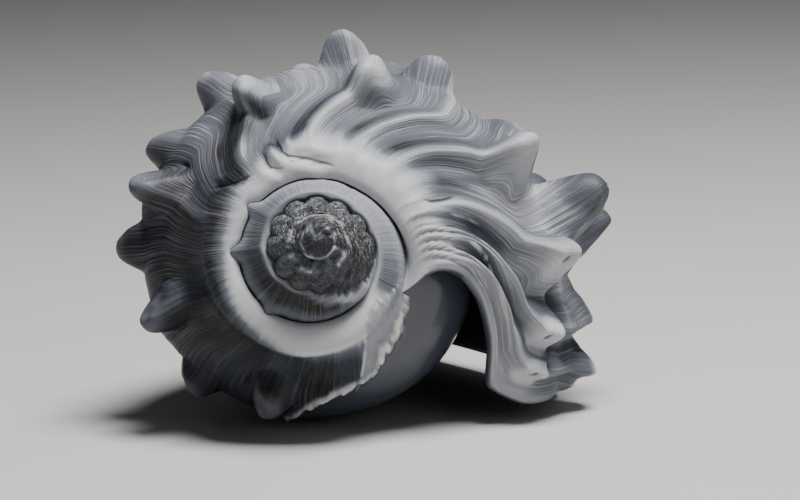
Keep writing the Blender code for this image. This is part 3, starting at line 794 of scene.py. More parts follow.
def ramp_pigment(points, time, row, grown, slow):
    """Pigment of the last turn, with its streaks behind the pleats, which hold painted shade, its blotches
    and troughs, and crests lightened partly as painted highlight.
    """
    young = ease(-0.52, -0.38, time)
    shade = table(time, PIGMENT_BY_TIME) * (1 + (0.10 + 0.55 * young) * slow)
    dark, crest = pleat_shades(grown)
    pleated = ease(-0.56, -0.46, time)
    lobed = ease(-0.14, -0.06, time)
    near_collar = hump(row, 2.6 + 0.8 * lobed, 1.4 + 0.4 * lobed)
    shade = shade + PLEAT_SHADE * dark * near_collar * pleated
    shade = shade * (1 - CREST_LIGHT * crest * ease(1.8, 3.0, row) * pleated)
    for place, across in BLOTCHES:
        blotch = hump(time, place, BLOTCH_SIZE[0]) * hump(row, across, BLOTCH_SIZE[1])
        shade = shade + BLOTCH_SHADE * blotch
    near = (time > -0.24) & (time < -0.03) & (row > 2) & (row < 5)
    for line in TROUGH_LINES:
        distance, share = distance_to_line(points[near], line)
        shade[near] += TROUGH_SHADE * hump(distance, 0, 1) * between(share, 0, 0.2, 0.8, 1)
    return shade * (1 - 0.22 * young * ease(3.0, 4.4, row)) * (1 - 0.4 * ease(7, 10, row))


def tints_and_painted_shade(time, row, grown, slow):
    """The bluish tints of the last turn's side, of the arch at the lip and of the lobes beside it, which on
    the side and the lobes are partly painted shade.
    """
    side = ease(4.3, 5.3, row) * ease(-0.24, -0.14, time) * (1 - 0.4 * ease(-0.03, 0.0, time))
    arch = ease(-0.11, -0.07, grown) * between(row, 0.9, 1.7, 3.2, 4.4)
    lobes = ease(-0.11, -0.06, time) * between(row, 3.3, 4.2, 7, 9)
    return (OUTER_BLUE * side * (1 + 0.8 * slow) + ARCH_SHADE * arch
            + LOBE_SHADE * lobes * (1 + 0.6 * slow))


print(len(BLOTCHES), "blotches and", len(TROUGH_LINES), "troughs")

# %% [markdown]
# ## Where the pigment lies on the spire
#
# The oldest turns are dark and worn through to white in small broken marks, which painted light makes
# stronger on top. Outside their scallops lies a white roll, greyed by painted shade for the overhanging
# collar's shadow, and outside that the dark, finely lined ramp of the next turn.

# %% Pigment of the spire
# From -1.4 to -1.08, on the top and the right of the ring, the values are partly painted shade.
SPIRE_PIGMENT = [(-4.6, 1.0), (-3.4, 1.0), (-2.9, 0.95), (-2.1, 0.95), (-2.0, 0.95), (-1.9, 1.0),
                 (-1.7, 1.0), (-1.6, 0.85), (-1.5, 0.66), (-1.4, 0.44), (-1.2, 0.36), (-1.08, 0.42),
                 (-1.0, 0.7)]
# How wide the white roll outside the scallops is, in rows.
WHITE_ROLL = [(-2.06, 0.5), (-1.9, 0.5), (-1.75, 0.6), (-1.6, 0.9), (-1.3, 1.2), (-1.1, 0.8), (-1.0, 0.8)]
# How dark that roll is all round, and beside the suture on top: painted shade for the shadow of the
# overhanging collar and of the scallops. The worn rings near the apex are lighter by the last number.
ROLL_PAINTED_SHADE, TOP_PAINTED_SHADE, WORN_LIGHT = 0.26, 0.55, 0.75


def spire_pigment(points, time, row):
    """Pigment of the older turns with painted shade on the white roll, and their shares of fine lines and of
    worn marks.
    """
    amount = table(time, SPIRE_PIGMENT)
    past = past_scallops(time, row)
    ring = np.where(time > -2.06, ease(-0.10, 0.10, past), 0)
    roll = table(time, WHITE_ROLL)
    across = ease(roll - 0.15, roll + 0.30, past) * (1 - 0.60 * ease(1.8, 2.5, row))
    # Painted shadow under the scallops, beside the suture on top.
    top = TOP_PAINTED_SHADE * hump(time, -1.36, 0.15) * (1 - ease(0.7, 1.3, row))
    marbled = 1 + 0.2 * rough(time * 50, row * 5, 54)
    shade = amount * (across * ring + marbled * (1 - ring)) + top * ring
    # The white roll gets painted shade all round, for the overhanging collar's shadow.
    shade = shade - WORN_LIGHT * worn_rings(points) * (time < -2.0) + ROLL_PAINTED_SHADE * ring * (1 - across)
    radius = np.hypot(points[..., 0], points[..., 1])
    # Painted light: the worn marks are stronger on the spire's upper side and weaker below.
    painted_top_light = ease(-0.7, 0.5, points[..., 1] / (radius + 1))
    worn = (1 - ring) * (0.15 + 0.85 * ease(1.9, 3.0, radius)) * (0.35 + 0.65 * painted_top_light)
    return shade, ring * across * amount, worn


print("the spire's first turn has", SPIRE_PIGMENT[0][1], "of the pigment and its last", SPIRE_PIGMENT[-1][1])

# %% [markdown]
# ## All pigment together
#
# The last turn and the spire meet at time -1, where the older turn's pigment fades into the younger one's.
# Painted shade lies in the sutures, for the shadow of the collar that overhangs them.

# %% Pigment of the whole outside
# A trace of colour on the white collar, and how much it varies.
COLLAR_TRACE = (0.06, 0.10)
# Painted shade on the younger and the older side of the suture, for the shadow under the overhanging collar:
# how dark, and how wide in rows.
SUTURE_PAINTED_SHADE = (0.8, 0.16)
SPIRE_SUTURE_PAINTED_SHADE = (0.5, 0.10)


def pigment(points, time, row, grown):
    """Shares of dark pigment with painted shade in it, of fine lines, which the smooth collar lacks, and of
    worn marks.
    """
    edge = table(time, COLLAR_EDGE) + 0.06 * mottle(grown * 260, 0 * row, 51)
    edge = edge + 0.12 * mottle(grown * 18, 0 * row, 52)
    beyond = ease(edge - 0.35, edge + 0.65, row)
    slow = 0.6 * mottle(grown * 62, row * 0.45, 53) + 0.4 * mottle(grown * 25, row * 0.35, 55)
    last = ramp_pigment(points, time, row, grown, slow) * beyond + tints_and_painted_shade(time, row, grown, slow)
    collar = COLLAR_TRACE[0] + COLLAR_TRACE[1] * rough(grown * 60, row * 1.6, 56)
    last = last + collar * (1 - beyond) * (time > -0.95) * ease(-0.95, -0.6, time)

    older, older_lines, worn = spire_pigment(points, time, row)
    spire = 1 - ease(-1.0, -0.95, time)
    # Painted shadow in the last suture and in the one before, where the collar overhangs them.
    painted_shade = SUTURE_PAINTED_SHADE[0] * hump(row, 0, SUTURE_PAINTED_SHADE[1]) * between(time, -0.85, -0.7, -0.1, -0.02)
    painted_shade = painted_shade + SPIRE_SUTURE_PAINTED_SHADE[0] * hump(row, 3, SPIRE_SUTURE_PAINTED_SHADE[1]) * between(time, -1.85, -1.7, -1.1, -1.0)
    # The lines are weaker on the shell's youngest part, and low on its left, where the weakening is painted
    # shade.
    clear = (1 - 0.5 * hump(time, -0.72, 0.13)) * (1 - 0.15 * ease(-0.52, -0.38, time))
    lined = np.where(time > -1.0, beyond * clear, older_lines)
    return np.clip(last * (1 - spire) + older * spire + painted_shade, 0, 1), lined, worn


print("the older half of the last turn has", table(-0.7, PIGMENT_BY_TIME), "of the pigment")

# %% [markdown]
# ## The outside of the wall, with everything on it
#
# All heights are added to the smooth wall. The same step also records what the colour needs later: the age,
# the distance across the profile, and shares between 0 and 1 of pigment with painted shade in it, glaze,
# chalky white and worn marks, which painted light makes stronger on top.

# %% The outer wall and its facts
# The lip ends in a low bead, this high and this far behind the edge in turns.
LIP_BEAD, LIP_BEAD_PLACE = 0.45, 0.0045
# How dark the pits, the painted shade in the furrow among the creases and the one big dark spine are.
PIT_SHADE, CREASE_SHADE, BIG_SPINE_SHADE = 0.8, 0.75, 0.80


def relief(points, column, time, row, grown, bare):
    """Heights of everything fine, without the glaze, and the facts that belong to it."""
    tiles, crest = plates(grown, row)
    plated = ease(-0.4, -0.1, time)
    fine = (wrinkles(grown, row, time) + tiles * plated) * bare
    fine = fine + LIP_BEAD * hump(column, -LIP_BEAD_PLACE, LIP_BEAD_PLACE) * ease(1.0, 2.0, row)
    folds, painted_shade, cleft, cleft_depth = creases(points, time, row)
    fine = fine + folds + old_turns(points, time, row) + collar_roll(time, row)
    return fine, crest * plated, painted_shade, cleft, cleft_depth


def outer_wall(column, time, row):
    """The outside of the shell with all its relief, and its facts for the colour."""
    points = smooth_wall(time, row)
    grown = age(column, time, row)
    out = normals(points)
    push, tip, pits = spines(points, time, row)
    push = (push + out * pleats(time, row)[..., None]) * ease(0, 0.6, row)[..., None]
    glaze, film, crust, lift = glaze_facts(points, time, row)
    bare = 1 - np.maximum(glaze, 0.8 * film)
    fine, crest, painted_shade, cleft, cleft_depth = relief(points, column, time, row, grown, bare)
    points = points + push + out * ((fine + lift) * suture_fade(time, row))[..., None]
    turn = azimuth(time)
    to_axis = np.stack([-np.cos(turn), -np.sin(turn), 0 * turn], -1)
    points = points + to_axis * overhang(time, row)[..., None]
    steps = np.linalg.norm(np.diff(points, axis=1), axis=-1)
    across = np.concatenate([np.zeros((len(points), 1)), np.cumsum(steps, 1)], 1)

    # Pigment is thin under the glaze, worn off the tips of the spines, and gone under the white edge.
    crust = np.maximum(crust, 0.8 * crest)
    dark, lined, old = pigment(points, time, row, grown)
    # Painted shade in the furrow beside the lip.
    dark = np.maximum(dark, CREASE_SHADE * painted_shade)
    dark = dark * (1 - 0.85 * glaze) * (1 - 0.75 * film) * (1 - crust)
    worn = 0.3 + 0.5 * ease(-0.10, -0.06, time)
    dark = np.maximum(dark * (1 - worn * ease(0.6, 1.0, tip)), PIT_SHADE * pits)
    big_spine = (time > -0.15) & (time < -0.075) & (row > 4.3) & (row < 6.4)
    dark = np.maximum(dark, BIG_SPINE_SHADE * ease(0.15, 0.6, tip) * big_spine)
    lined = lined * (1 - 0.9 * film) * (1 - 0.6 * ease(0.2, 0.8, tip))
    old = old * (time < -1.5)
    facts = [walked(grown), across, dark, glaze, film, crust, lined, old, cleft, cleft_depth]
    return points, np.stack(facts, -1)


print("the bead along the lip is", LIP_BEAD, "mm high")

# %% [markdown]
# ## The inside
#
# Behind the lip the wall turns inward and follows the hollow back. The far side of the hollow is the
# older turn, drawn in to a pillar along the axis. Where the hollow gets dark and narrow it is closed
# by a small wall out of sight, so the shell is one closed skin, as a printer or a game would need.

# %% The hollow
# Where the hollow's far side ends, near the axis: how far out, how deep and at which row.
FLOOR_RADIUS = [(-0.7, 5.5), (-0.45, 5.0), (-0.3, 4.6), (-0.2, 4.3), (-0.1, 4.0), (0, 4.0)]
FLOOR_DEPTH = [(-0.7, 42), (-0.45, 51), (-0.3, 61), (-0.2, 69), (-0.1, 77), (0, 82)]
FLOOR_ROW = [(-0.7, 6.3), (-0.45, 7.1), (-0.3, 7.9), (-0.2, 8.5), (-0.1, 9.2), (-0.05, 9.6), (0, 10)]
# The pillar's radius halfway between that end and the side, in millimetres.
AXIS_PILLAR_RADIUS = 3.6


def floor_point(time):
    """Where the hollow's far side ends, near the axis. At the lip it runs out at the tip."""
    radius, turn = table(time, FLOOR_RADIUS), azimuth(time)
    point = np.stack([radius * np.cos(turn), radius * np.sin(turn), -table(time, FLOOR_DEPTH)], -1)
    return point + (TIP - point) * ease(-0.05, 0, time)[..., None]


def inner_wall(time, row):
    """The older wall that the last turn covers, down to the hollow's far side."""
    points = profile(time)
    floor = floor_point(time + 1)
    middle = 0.4 * points[..., 8, :] + 0.6 * floor
    reach = AXIS_PILLAR_RADIUS / np.hypot(middle[..., 0], middle[..., 1])[..., None]
    middle = middle * np.concatenate([reach, reach, np.ones_like(reach)], -1)
    outside = ease(-1.12, -1.0, time)[..., None]
    points[..., 9, :] = middle + (points[..., 9, :] - middle) * outside
    points[..., 10, :] = floor
    return through(points, row)


print("the pillar's radius is", AXIS_PILLAR_RADIUS, "mm halfway")

# %% [markdown]
# The outer wall has an inner side as well, which meets the older turn at the suture and along the
# hollow's far side. The wall is thinner at the lip, and there its inside follows the pleats by half.

# %% The inner side of the outer wall
# How far back the hollow goes, in turns, and how thick the wall is there and at the lip.
HOLLOW_DEPTH = 0.3
WALL, LIP_WALL = 1.9, 1.1


def inside_wall(column, row, first_row):
    """The inner side of the outer wall, back from the lip to the hollow's end."""
    end_row = table(column, FLOOR_ROW)[:, None]
    share = ease(3, 10, row)[None, :]
    row = np.minimum(row[None, :] * (1 - share) + row[None, :] / 10 * end_row * share, end_row)
    time = column[:, None] - ease(LEAN_START, 0, column[:, None]) * lag(row)
    wall = smooth_wall(time, row)
    lift = pleats(time, row) * ease(-0.3, 0, column)[:, None]
    thick = WALL * (0.55 + 0.45 * ease(0, 1.5, row))
    thick = thick + (LIP_WALL - thick) * ease(-0.08, 0, column)[:, None]
    wall = wall - normals(wall) * (thick - 0.5 * lift)[..., None]
    corner = inner_wall(column - 1, np.full(column.shape, first_row))
    floor = np.concatenate([floor_point(column[:-1]), TIP[None]])
    wall = wall + (corner[:, None] - wall[:, :1]) * (1 - ease(0, 1.6, row))[..., None]
    near_floor = ease(0.72, 1, row / end_row)[..., None] ** 1.5
    return wall + (floor[:, None] - wall[:, -1:]) * near_floor


print("the hollow goes back", round(360 * HOLLOW_DEPTH), "degrees behind the lip")

# %% [markdown]
# ## Joining the grids into one skin
#
# Each part of the wall is a grid of points. Its columns and rows are closer together where the shell
# has more detail: near the lip, at the suture and at the shoulder.

# %% Columns and rows
COLUMNS_PER_TURN = 520
LIP_FOCUS = 1.4
RAMP_ROWS = 16
# Where each stretch of the side starts, and how many rows it has.
SIDE_ROWS = [(3.0, 15), (4.0, 20), (5.0, 16), (6.0, 13), (7.0, 11), (8.0, 10)]


def column_times():
    """Places of the columns in one turn, from -1 to 0, closer together near the lip."""
    fine = np.linspace(-1, 0, 4001)
    density = 1 + LIP_FOCUS * ease(-0.16, -0.10, fine)
    total = np.concatenate([[0], np.cumsum((density[1:] + density[:-1]) / 2)])
    return np.interp(np.linspace(0, total[-1], COLUMNS_PER_TURN + 1), total, fine)


def row_places():
    """Places along the profile, closer together at the suture and the shoulder."""
    ramp = np.linspace(0, 1, RAMP_ROWS + 1)
    places = [3 * (ramp - 0.10 * np.sin(2 * pi * ramp))]
    ends = [start for start, _ in SIDE_ROWS[1:]] + [10.0]
    for (start, count), end in zip(SIDE_ROWS, ends):
        places.append(np.linspace(start, end, count + 1)[1:])
    return np.concatenate(places)


print(len(row_places()), "rows from the suture to the tip")

# %% [markdown]
# The last row of one turn is the first row of the next, which makes the sutures watertight. A point
# on a suture has two ages, one for each turn, so the facts are stored for each corner of a face and
# not for each point.

# %% A skin of grids
FACTS = ("walked", "across", "dark", "glaze", "film", "crust", "lined", "old", "cleft", "cleft depth")


class Skin:
    """Collects grids of points, the faces between them and the facts at each face's corners."""

    def __init__(self):
        self.points, self.facts, self.faces, self.corners = [], [], [], []
        self.count, self.fact_count = 0, 0

    def add(self, points):
        """Adds points and returns their numbers, in the same grid."""
        shape = points.shape[:-1]
        self.points.append(points.reshape(-1, 3))
        numbers = np.arange(self.count, self.count + int(np.prod(shape)))
        self.count += len(numbers)
        return numbers.reshape(shape)

    def keep(self, facts):
        """Stores facts and returns their numbers, in the same grid."""
        shape = facts.shape[:-1]
        self.facts.append(facts.reshape(-1, len(FACTS)))
        numbers = np.arange(self.fact_count, self.fact_count + int(np.prod(shape)))
        self.fact_count += len(numbers)
        return numbers.reshape(shape)

    def face(self, corners, facts):
        self.faces.append(corners)
        self.corners.extend(facts)

    def cover(self, grid, facts):
        """Adds the four-sided faces of a grid. Welded corners make triangles."""
        facts = self.keep(facts)
        pick = [np.stack([g[:-1, :-1], g[1:, :-1], g[1:, 1:], g[:-1, 1:]], -1).reshape(-1, 4).tolist()
                for g in (grid, facts)]
        for corners, numbers in zip(*pick):
            whole = dict(zip(corners, numbers))
            if len(whole) > 2:
                self.face(list(whole), list(whole.values()))


print("facts at each corner:", ", ".join(FACTS))

# %% [markdown]
# The spire is one long grid from the apex to the last turn. Its columns are counted back from the
# lip, so that each stands exactly behind one of the next turn, and its last row is the first row of
# the turn outside it.

# %% The spire's grid
skin = Skin()
row = row_places()
turn = COLUMNS_PER_TURN
last = int(round(-FIRST_TURN * turn))
number = np.arange(last + 1) - last
time = np.floor_divide(number, turn) + column_times()[number % turn] + 1.0
begin = last - turn

grid_time, grid_row = np.meshgrid(time[:begin + 1], row[:RAMP_ROWS + 1], indexing="ij")
points, spire_facts = outer_wall(grid_time, grid_time, grid_row)
spire = np.zeros((begin + 1, RAMP_ROWS + 1), int)
spire[:begin, :RAMP_ROWS] = skin.add(points[:begin, :RAMP_ROWS])
apex_point = skin.add(np.zeros((1, 3)))[0]
print("the spire has", spire.shape[0], "columns of", spire.shape[1], "points")

# %% [markdown]
# The last turn has the whole profile. Its columns lean over more and more, to follow the growth line
# that ends it at the lip.

# %% The last turn's grid
column, grid_row = np.meshgrid(time[begin:], row, indexing="ij")
grid_time = column - ease(LEAN_START, 0, column) * lag(grid_row)
points, whorl_facts = outer_wall(column, grid_time, grid_row)
whorl = np.full((turn + 1, len(row)), skin.add(TIP[None])[0])
whorl[:, :-1] = skin.add(points[:, :-1])
print("the last turn has", whorl.shape[0], "columns of", whorl.shape[1], "points")

# %% [markdown]
# A merge by distance could join points that only lie close together. So the turns are welded by
# number: along the suture both grids get the same points, and the innermost turn ends in the apex.

# %% Weld the sutures
first_row = np.concatenate([spire[:begin, 0], whorl[:, 0]])
first_row[last] = whorl[0, RAMP_ROWS]
first_row[:turn + 1] = apex_point
spire[:begin, 0] = first_row[:begin]
whorl[:, 0] = first_row[begin:]
spire[begin] = whorl[0, :RAMP_ROWS + 1]
spire[:begin, RAMP_ROWS] = first_row[turn:last]
spire[0] = apex_point
skin.cover(spire, spire_facts)
skin.cover(whorl, whorl_facts)
print("faces outside:", len(skin.faces))

# %% [markdown]
# The hollow has two grids: the older wall, which the last turn covers, and the inner side of the
# outer wall over it. Both are glazed all over.

# %% The hollow's two grids
INSIDE_COLUMNS = 60


def plain_facts(shape, **values):
    """The same facts all over a grid."""
    facts = np.zeros(shape + (len(FACTS),))
    for name, value in values.items():
        facts[..., FACTS.index(name)] = value
    return facts


depth = -HOLLOW_DEPTH * np.linspace(1, 0, INSIDE_COLUMNS + 1) ** 1.4
older, grid_row = np.meshgrid(depth[:-1] - 1, row[RAMP_ROWS + 1:], indexing="ij")
pillar = skin.add(inner_wall(older, grid_row))
pillar = np.concatenate([pillar, whorl[:1, RAMP_ROWS + 1:]])
inside = skin.add(inside_wall(depth, row, row[RAMP_ROWS + 1])[:, 1:-1])
inside = np.concatenate([pillar[:, :1], inside, pillar[:, -1:]], 1)
skin.cover(pillar, plain_facts(pillar.shape, glaze=1.0))
skin.cover(inside[:, ::-1], plain_facts(inside.shape, glaze=1.0))
print("faces with the hollow:", len(skin.faces))

# %% [markdown]
# At the lip a half round edge joins the outside to the inside. One flat face closes the hollow's far
# end, out of sight.

# %% The lip's edge and the hollow's end
LIP_ROWS = 5


def lip_edge(outer, inner, ahead):
    """Rows of points round the lip's edge, from its outer to its inner side."""
    bead = []
    for step in range(1, LIP_ROWS):
        angle = pi * step / LIP_ROWS
        middle = (outer + inner) / 2 + (outer - inner) / 2 * np.cos(angle)
        reach = np.linalg.norm(outer - inner, axis=-1, keepdims=True) / 2
        bead.append(middle + ahead * reach * np.sin(angle))
    return bead


everything = np.concatenate(skin.points)
outer, inner = everything[whorl[-1, 1:-1]], everything[inside[-1, 1:-1]]
forward = outer - everything[whorl[-2, 1:-1]]
forward /= np.linalg.norm(forward, axis=-1, keepdims=True)
edge = [whorl[-1]]
for middle in lip_edge(outer, inner, forward):
    edge.append(np.concatenate([whorl[-1, :1], skin.add(middle), whorl[-1, -1:]]))
edge = np.stack(edge + [inside[-1]])
edge_facts = plain_facts(edge.shape, glaze=1.0)
edge_facts[0] = whorl_facts[-1]
skin.cover(edge, edge_facts)
cap = list(pillar[0, 1:-1]) + list(inside[0][::-1])
skin.face(cap, skin.keep(plain_facts((len(cap),), glaze=1.0)).tolist())
print(skin.count, "points and", len(skin.faces), "faces")

# %% [markdown]
# ## From the growing frame to the table
#
# So far the axis stood upright. On the table the axis lies almost level, with the apex at the viewer,
# and the shell rests on a spine, the end of its canal and its lip. The finished skin is then set
# into the box that the frame gives, so it has exactly the size of the solid that it stands for.

# %% Lay the shell down and build the mesh
# How far the axis is tilted from level, and how far the shell is rolled about it.
AXIS_TILT = radians(15.8)
AXIS_ROLL = radians(-1.7)

resting = Matrix.Rotation(radians(90) - AXIS_TILT, 4, "X") @ Matrix.Rotation(AXIS_ROLL, 4, "Z")
placed = np.concatenate(skin.points) * MM @ np.array(resting.to_3x3()).T
box_low, box_high = (np.array(corner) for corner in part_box("shell"))
drawn_low, drawn_high = placed.min(0), placed.max(0)
fit = (box_high - box_low) / (drawn_high - drawn_low)
placed = (placed - (drawn_low + drawn_high) / 2) * fit + (box_low + box_high) / 2
print("fit to the frame, x y z:", fit.round(4))

mesh = bpy.data.meshes.new("conch")
mesh.from_pydata(placed.tolist(), [], [[int(c) for c in face] for face in skin.faces])
corner_facts = np.concatenate(skin.facts)[skin.corners]
for name, values in zip(FACTS, corner_facts.T):
    mesh.attributes.new(name, "FLOAT", "CORNER").data.foreach_set("value", values.astype(np.float32))
mesh.shade_smooth()
conch = bpy.data.objects.new("conch", mesh)
bpy.context.scene.collection.objects.link(conch)
used = np.zeros(len(mesh.vertices), bool)
used[[corner.vertex_index for corner in mesh.loops]] = True
print("triangles:", sum(len(face.vertices) - 2 for face in mesh.polygons))
print("unused points:", int((~used).sum()))

# %% [markdown]
# ## The finish
#
# The shell is lime. The collar and the ridges are chalky white, the ramp of the older half is slate and
# brown with hundreds of fine light lines, and the glaze is smooth, bluish and glossy, its colour darkened by
# painted shade and a painted dark reflection. All of it is one material. The corner facts say where each
# finish is, and noise that is stretched along the growth lines draws the fine lines in colour, in gloss and
# as a low bump.

# %% Small helpers for shader nodes
class Nodes:
    """Adds nodes to one material and links them."""

    def __init__(self, material):
        self.tree = material.node_tree

    def fill(self, node, inputs):
        """Links or sets a node's inputs, by name or number."""
        for name, value in inputs.items():
            if isinstance(value, bpy.types.NodeSocket):
                self.tree.links.new(value, node.inputs[name])
            else:
                node.inputs[name].default_value = value

    def add(self, kind, inputs=None, **settings):
        node = self.tree.nodes.new(kind)
        for name, value in settings.items():
            setattr(node, name, value)
        self.fill(node, inputs or {})
        return node

    def fact(self, name):
        return self.add("ShaderNodeAttribute", attribute_name=name).outputs["Fac"]

    def math(self, operation, a, b=0.5, c=0.5, clamp=False):
        node = self.add("ShaderNodeMath", {0: a, 1: b, 2: c}, operation=operation, use_clamp=clamp)
        return node.outputs[0]

    def vector(self, x, y, z=0.0):
        return self.add("ShaderNodeCombineXYZ", {"X": x, "Y": y, "Z": z}).outputs[0]

    def noise(self, vector, scale=1.0, detail=3.0, roughness=0.6, distortion=0.0):
        node = self.add("ShaderNodeTexNoise", {"Vector": vector, "Scale": scale, "Detail": detail,
                                               "Roughness": roughness, "Distortion": distortion})
        return node.outputs["Fac"]

    def spread(self, value, low, high, to_low=0.0, to_high=1.0):
        """Maps low..high to another range and keeps it there."""
        node = self.add("ShaderNodeMapRange", {"Value": value, "From Min": low, "From Max": high,
                                               "To Min": to_low, "To Max": to_high}, clamp=True)
        return node.outputs[0]

    def mix(self, share, a, b):
        """Mixes two colours."""
        return self.add("ShaderNodeMix", {0: share, 6: a, 7: b}, data_type="RGBA").outputs[2]


print("shader helpers:", ", ".join(name for name in vars(Nodes) if not name.startswith("_")))

# %% [markdown]
# The lines run along the growth lines in four widths, from hairs to broad patches. Each is noise
# over the distance walked round the turns and the distance across the profile, and is squeezed one
# way and stretched the other. The worn spire has a crumbled, marbled pattern of its own.

# %% Patterns of the finish
# For each: its width and length in millimetres, its detail, its layer in the noise, its distortion.
LINES = {"hair": (0.22, 14.0, 2.0, 0.0, 0.0),
         "thread": (0.65, 16.0, 3.0, 3.0, 0.0),
         "band": (2.6, 25.0, 2.0, 7.0, 0.0),
         "patch": (3.4, 7.0, 3.0, 11.0, 0.0),
         "marble": (0.75, 0.26, 3.0, 0.0, 1.8)}


def shell_patterns(nodes, fact):
    """The noises that the colour, the gloss and the bump are drawn with, by name."""
    pattern = {}
    for name, (width, length, detail, layer, distortion) in LINES.items():
        place = nodes.vector(nodes.math("MULTIPLY", fact["walked"], 1 / width),
                             nodes.math("MULTIPLY", fact["across"], 1 / length), layer)
        pattern[name] = nodes.noise(place, 1.0, detail, 0.6, distortion)
    place = nodes.add("ShaderNodeTexCoord").outputs["Object"]
    pattern["grain"] = nodes.noise(place, 1800.0, 3.0)
    pattern["cloud"] = nodes.noise(place, 160.0, 4.0)
    return pattern


def cleft_bell(nodes, fact):
    """The sharp clefts of the collar: a bell curve over the distance to the line, for the bump and for a
    line of painted shade.
    """
    square = nodes.math("MULTIPLY", fact["cleft"], fact["cleft"])
    bell = nodes.math("EXPONENT", nodes.math("MULTIPLY", square, -1.0))
    return nodes.math("MULTIPLY", bell, fact["cleft depth"])


print("patterns on the growth lines:", ", ".join(LINES))

# %% [markdown]
# The colour starts from the pigment and the painted shade kept with it. Light lines break it up, and the
# result is mixed from chalk over a cool grey to slate and brown. The film, the glaze and the white edge lie
# over it in turn, and the sharp clefts get a line of painted shade.

# %% Colour of the shell
CHALK = (0.555, 0.56, 0.58, 1)
COOL = (0.166, 0.178, 0.210, 1)
SLATE = (0.026, 0.030, 0.043, 1)
BROWN = (0.017, 0.014, 0.011, 1)
# The glaze colour is darker than the glaze itself: painted shade and a painted dark reflection, in the
# hollow and under the arch.
PEARL_IN_PAINTED_SHADE = (0.046, 0.052, 0.070, 1)
FILM_BLUE = (0.17, 0.185, 0.22, 1)
CRUST_WHITE = (0.76, 0.76, 0.75, 1)
# How dark the painted shade along the collar's clefts is.
CLEFT_SHADE = 0.30
FILM_SHARE = 0.60


def shell_colour(nodes, fact, pattern, bell):
    """Pigment broken up by light lines, chalk where there is none, then the glaze."""
    streak = nodes.math("ADD", nodes.spread(pattern["hair"], 0.46, 0.70, 0.07, -0.40),
                        nodes.spread(pattern["thread"], 0.3, 0.7, 0.08, -0.10))
    streak = nodes.math("ADD", streak, nodes.spread(pattern["band"], 0.3, 0.7, 0.08, -0.08))
    streak = nodes.math("MULTIPLY", streak, nodes.spread(pattern["patch"], 0.35, 0.62, 0.35, 1.0))
    shade = nodes.math("ADD", fact["dark"], nodes.math("MULTIPLY", streak, fact["lined"]), clamp=True)
    broken = nodes.spread(pattern["marble"], 0.54, 0.62, 0.05, -0.95)
    shade = nodes.math("ADD", shade, nodes.math("MULTIPLY", fact["old"], broken), clamp=True)
    # Painted shade along the sharp clefts of the collar.
    shade = nodes.math("ADD", shade, nodes.math("MULTIPLY", bell, CLEFT_SHADE), clamp=True)
    deep = nodes.mix(nodes.spread(pattern["cloud"], 0.4, 0.65), SLATE, BROWN)
    colour = nodes.mix(nodes.spread(shade, 0.0, 0.5), CHALK, COOL)
    colour = nodes.mix(nodes.spread(shade, 0.4, 1.0), colour, deep)
    colour = nodes.mix(nodes.math("MULTIPLY", fact["film"], FILM_SHARE), colour, FILM_BLUE)
    colour = nodes.mix(fact["glaze"], colour, PEARL_IN_PAINTED_SHADE)
    return nodes.mix(nodes.spread(fact["crust"], 0.2, 0.95), colour, CRUST_WHITE)


print("the chalk is", round(CHALK[1] / SLATE[1]), "times as light as the slate")

# %% [markdown]
# The glaze is smooth and the chalk is dull. The bare shell has a low bump of lines and grain, and
# the glaze has almost none. The clefts of the collar are cut in deeper than the lines stand up.

# %% Gloss and bump of the shell
BUMP_HEIGHT = 0.3 * MM
CLEFT_CUT = 1.3


def shell_gloss(nodes, fact, pattern, smooth):
    """Roughness, shine and clear coat."""
    dull = nodes.spread(pattern["thread"], 0.3, 0.7, 0.34, 0.52)
    return {"Roughness": nodes.add("ShaderNodeMix", {0: smooth, 2: dull, 3: 0.2}).outputs[0],
            "Specular IOR Level": nodes.spread(nodes.math("MAXIMUM", smooth, fact["old"]), 0.0, 1.0,
                                               0.18, 0.5),
            "Coat Weight": nodes.math("MULTIPLY", smooth, 0.25),
            "Coat Roughness": 0.25}


def shell_bump(nodes, fact, pattern, smooth, bell):
    """The low bump of lines, grain and clefts."""
    height = nodes.math("ADD", nodes.math("MULTIPLY", pattern["hair"], 0.6), pattern["thread"])
    height = nodes.math("MULTIPLY", height, nodes.spread(fact["lined"], 0.0, 1.0, 0.12, 1.0))
    marbled = nodes.math("MULTIPLY", pattern["marble"], fact["old"])
    height = nodes.math("ADD", height, nodes.math("MULTIPLY", marbled, 1.2))
    height = nodes.math("ADD", height, nodes.math("MULTIPLY", pattern["grain"], 0.15))
    height = nodes.math("MULTIPLY", height, nodes.spread(smooth, 0.0, 1.0, 1.0, 0.08))
    height = nodes.math("SUBTRACT", height, nodes.math("MULTIPLY", bell, CLEFT_CUT))
    bump = nodes.add("ShaderNodeBump", {"Height": height, "Distance": BUMP_HEIGHT, "Strength": 0.8})
    return bump.outputs["Normal"]


print("the bump is up to about", round(BUMP_HEIGHT / MM, 2), "mm high")

# %% [markdown]
# A little light goes into the lime and comes out beside it, which softens the thin parts. The shell
# then rides on the frame's only body and stands for its one solid.

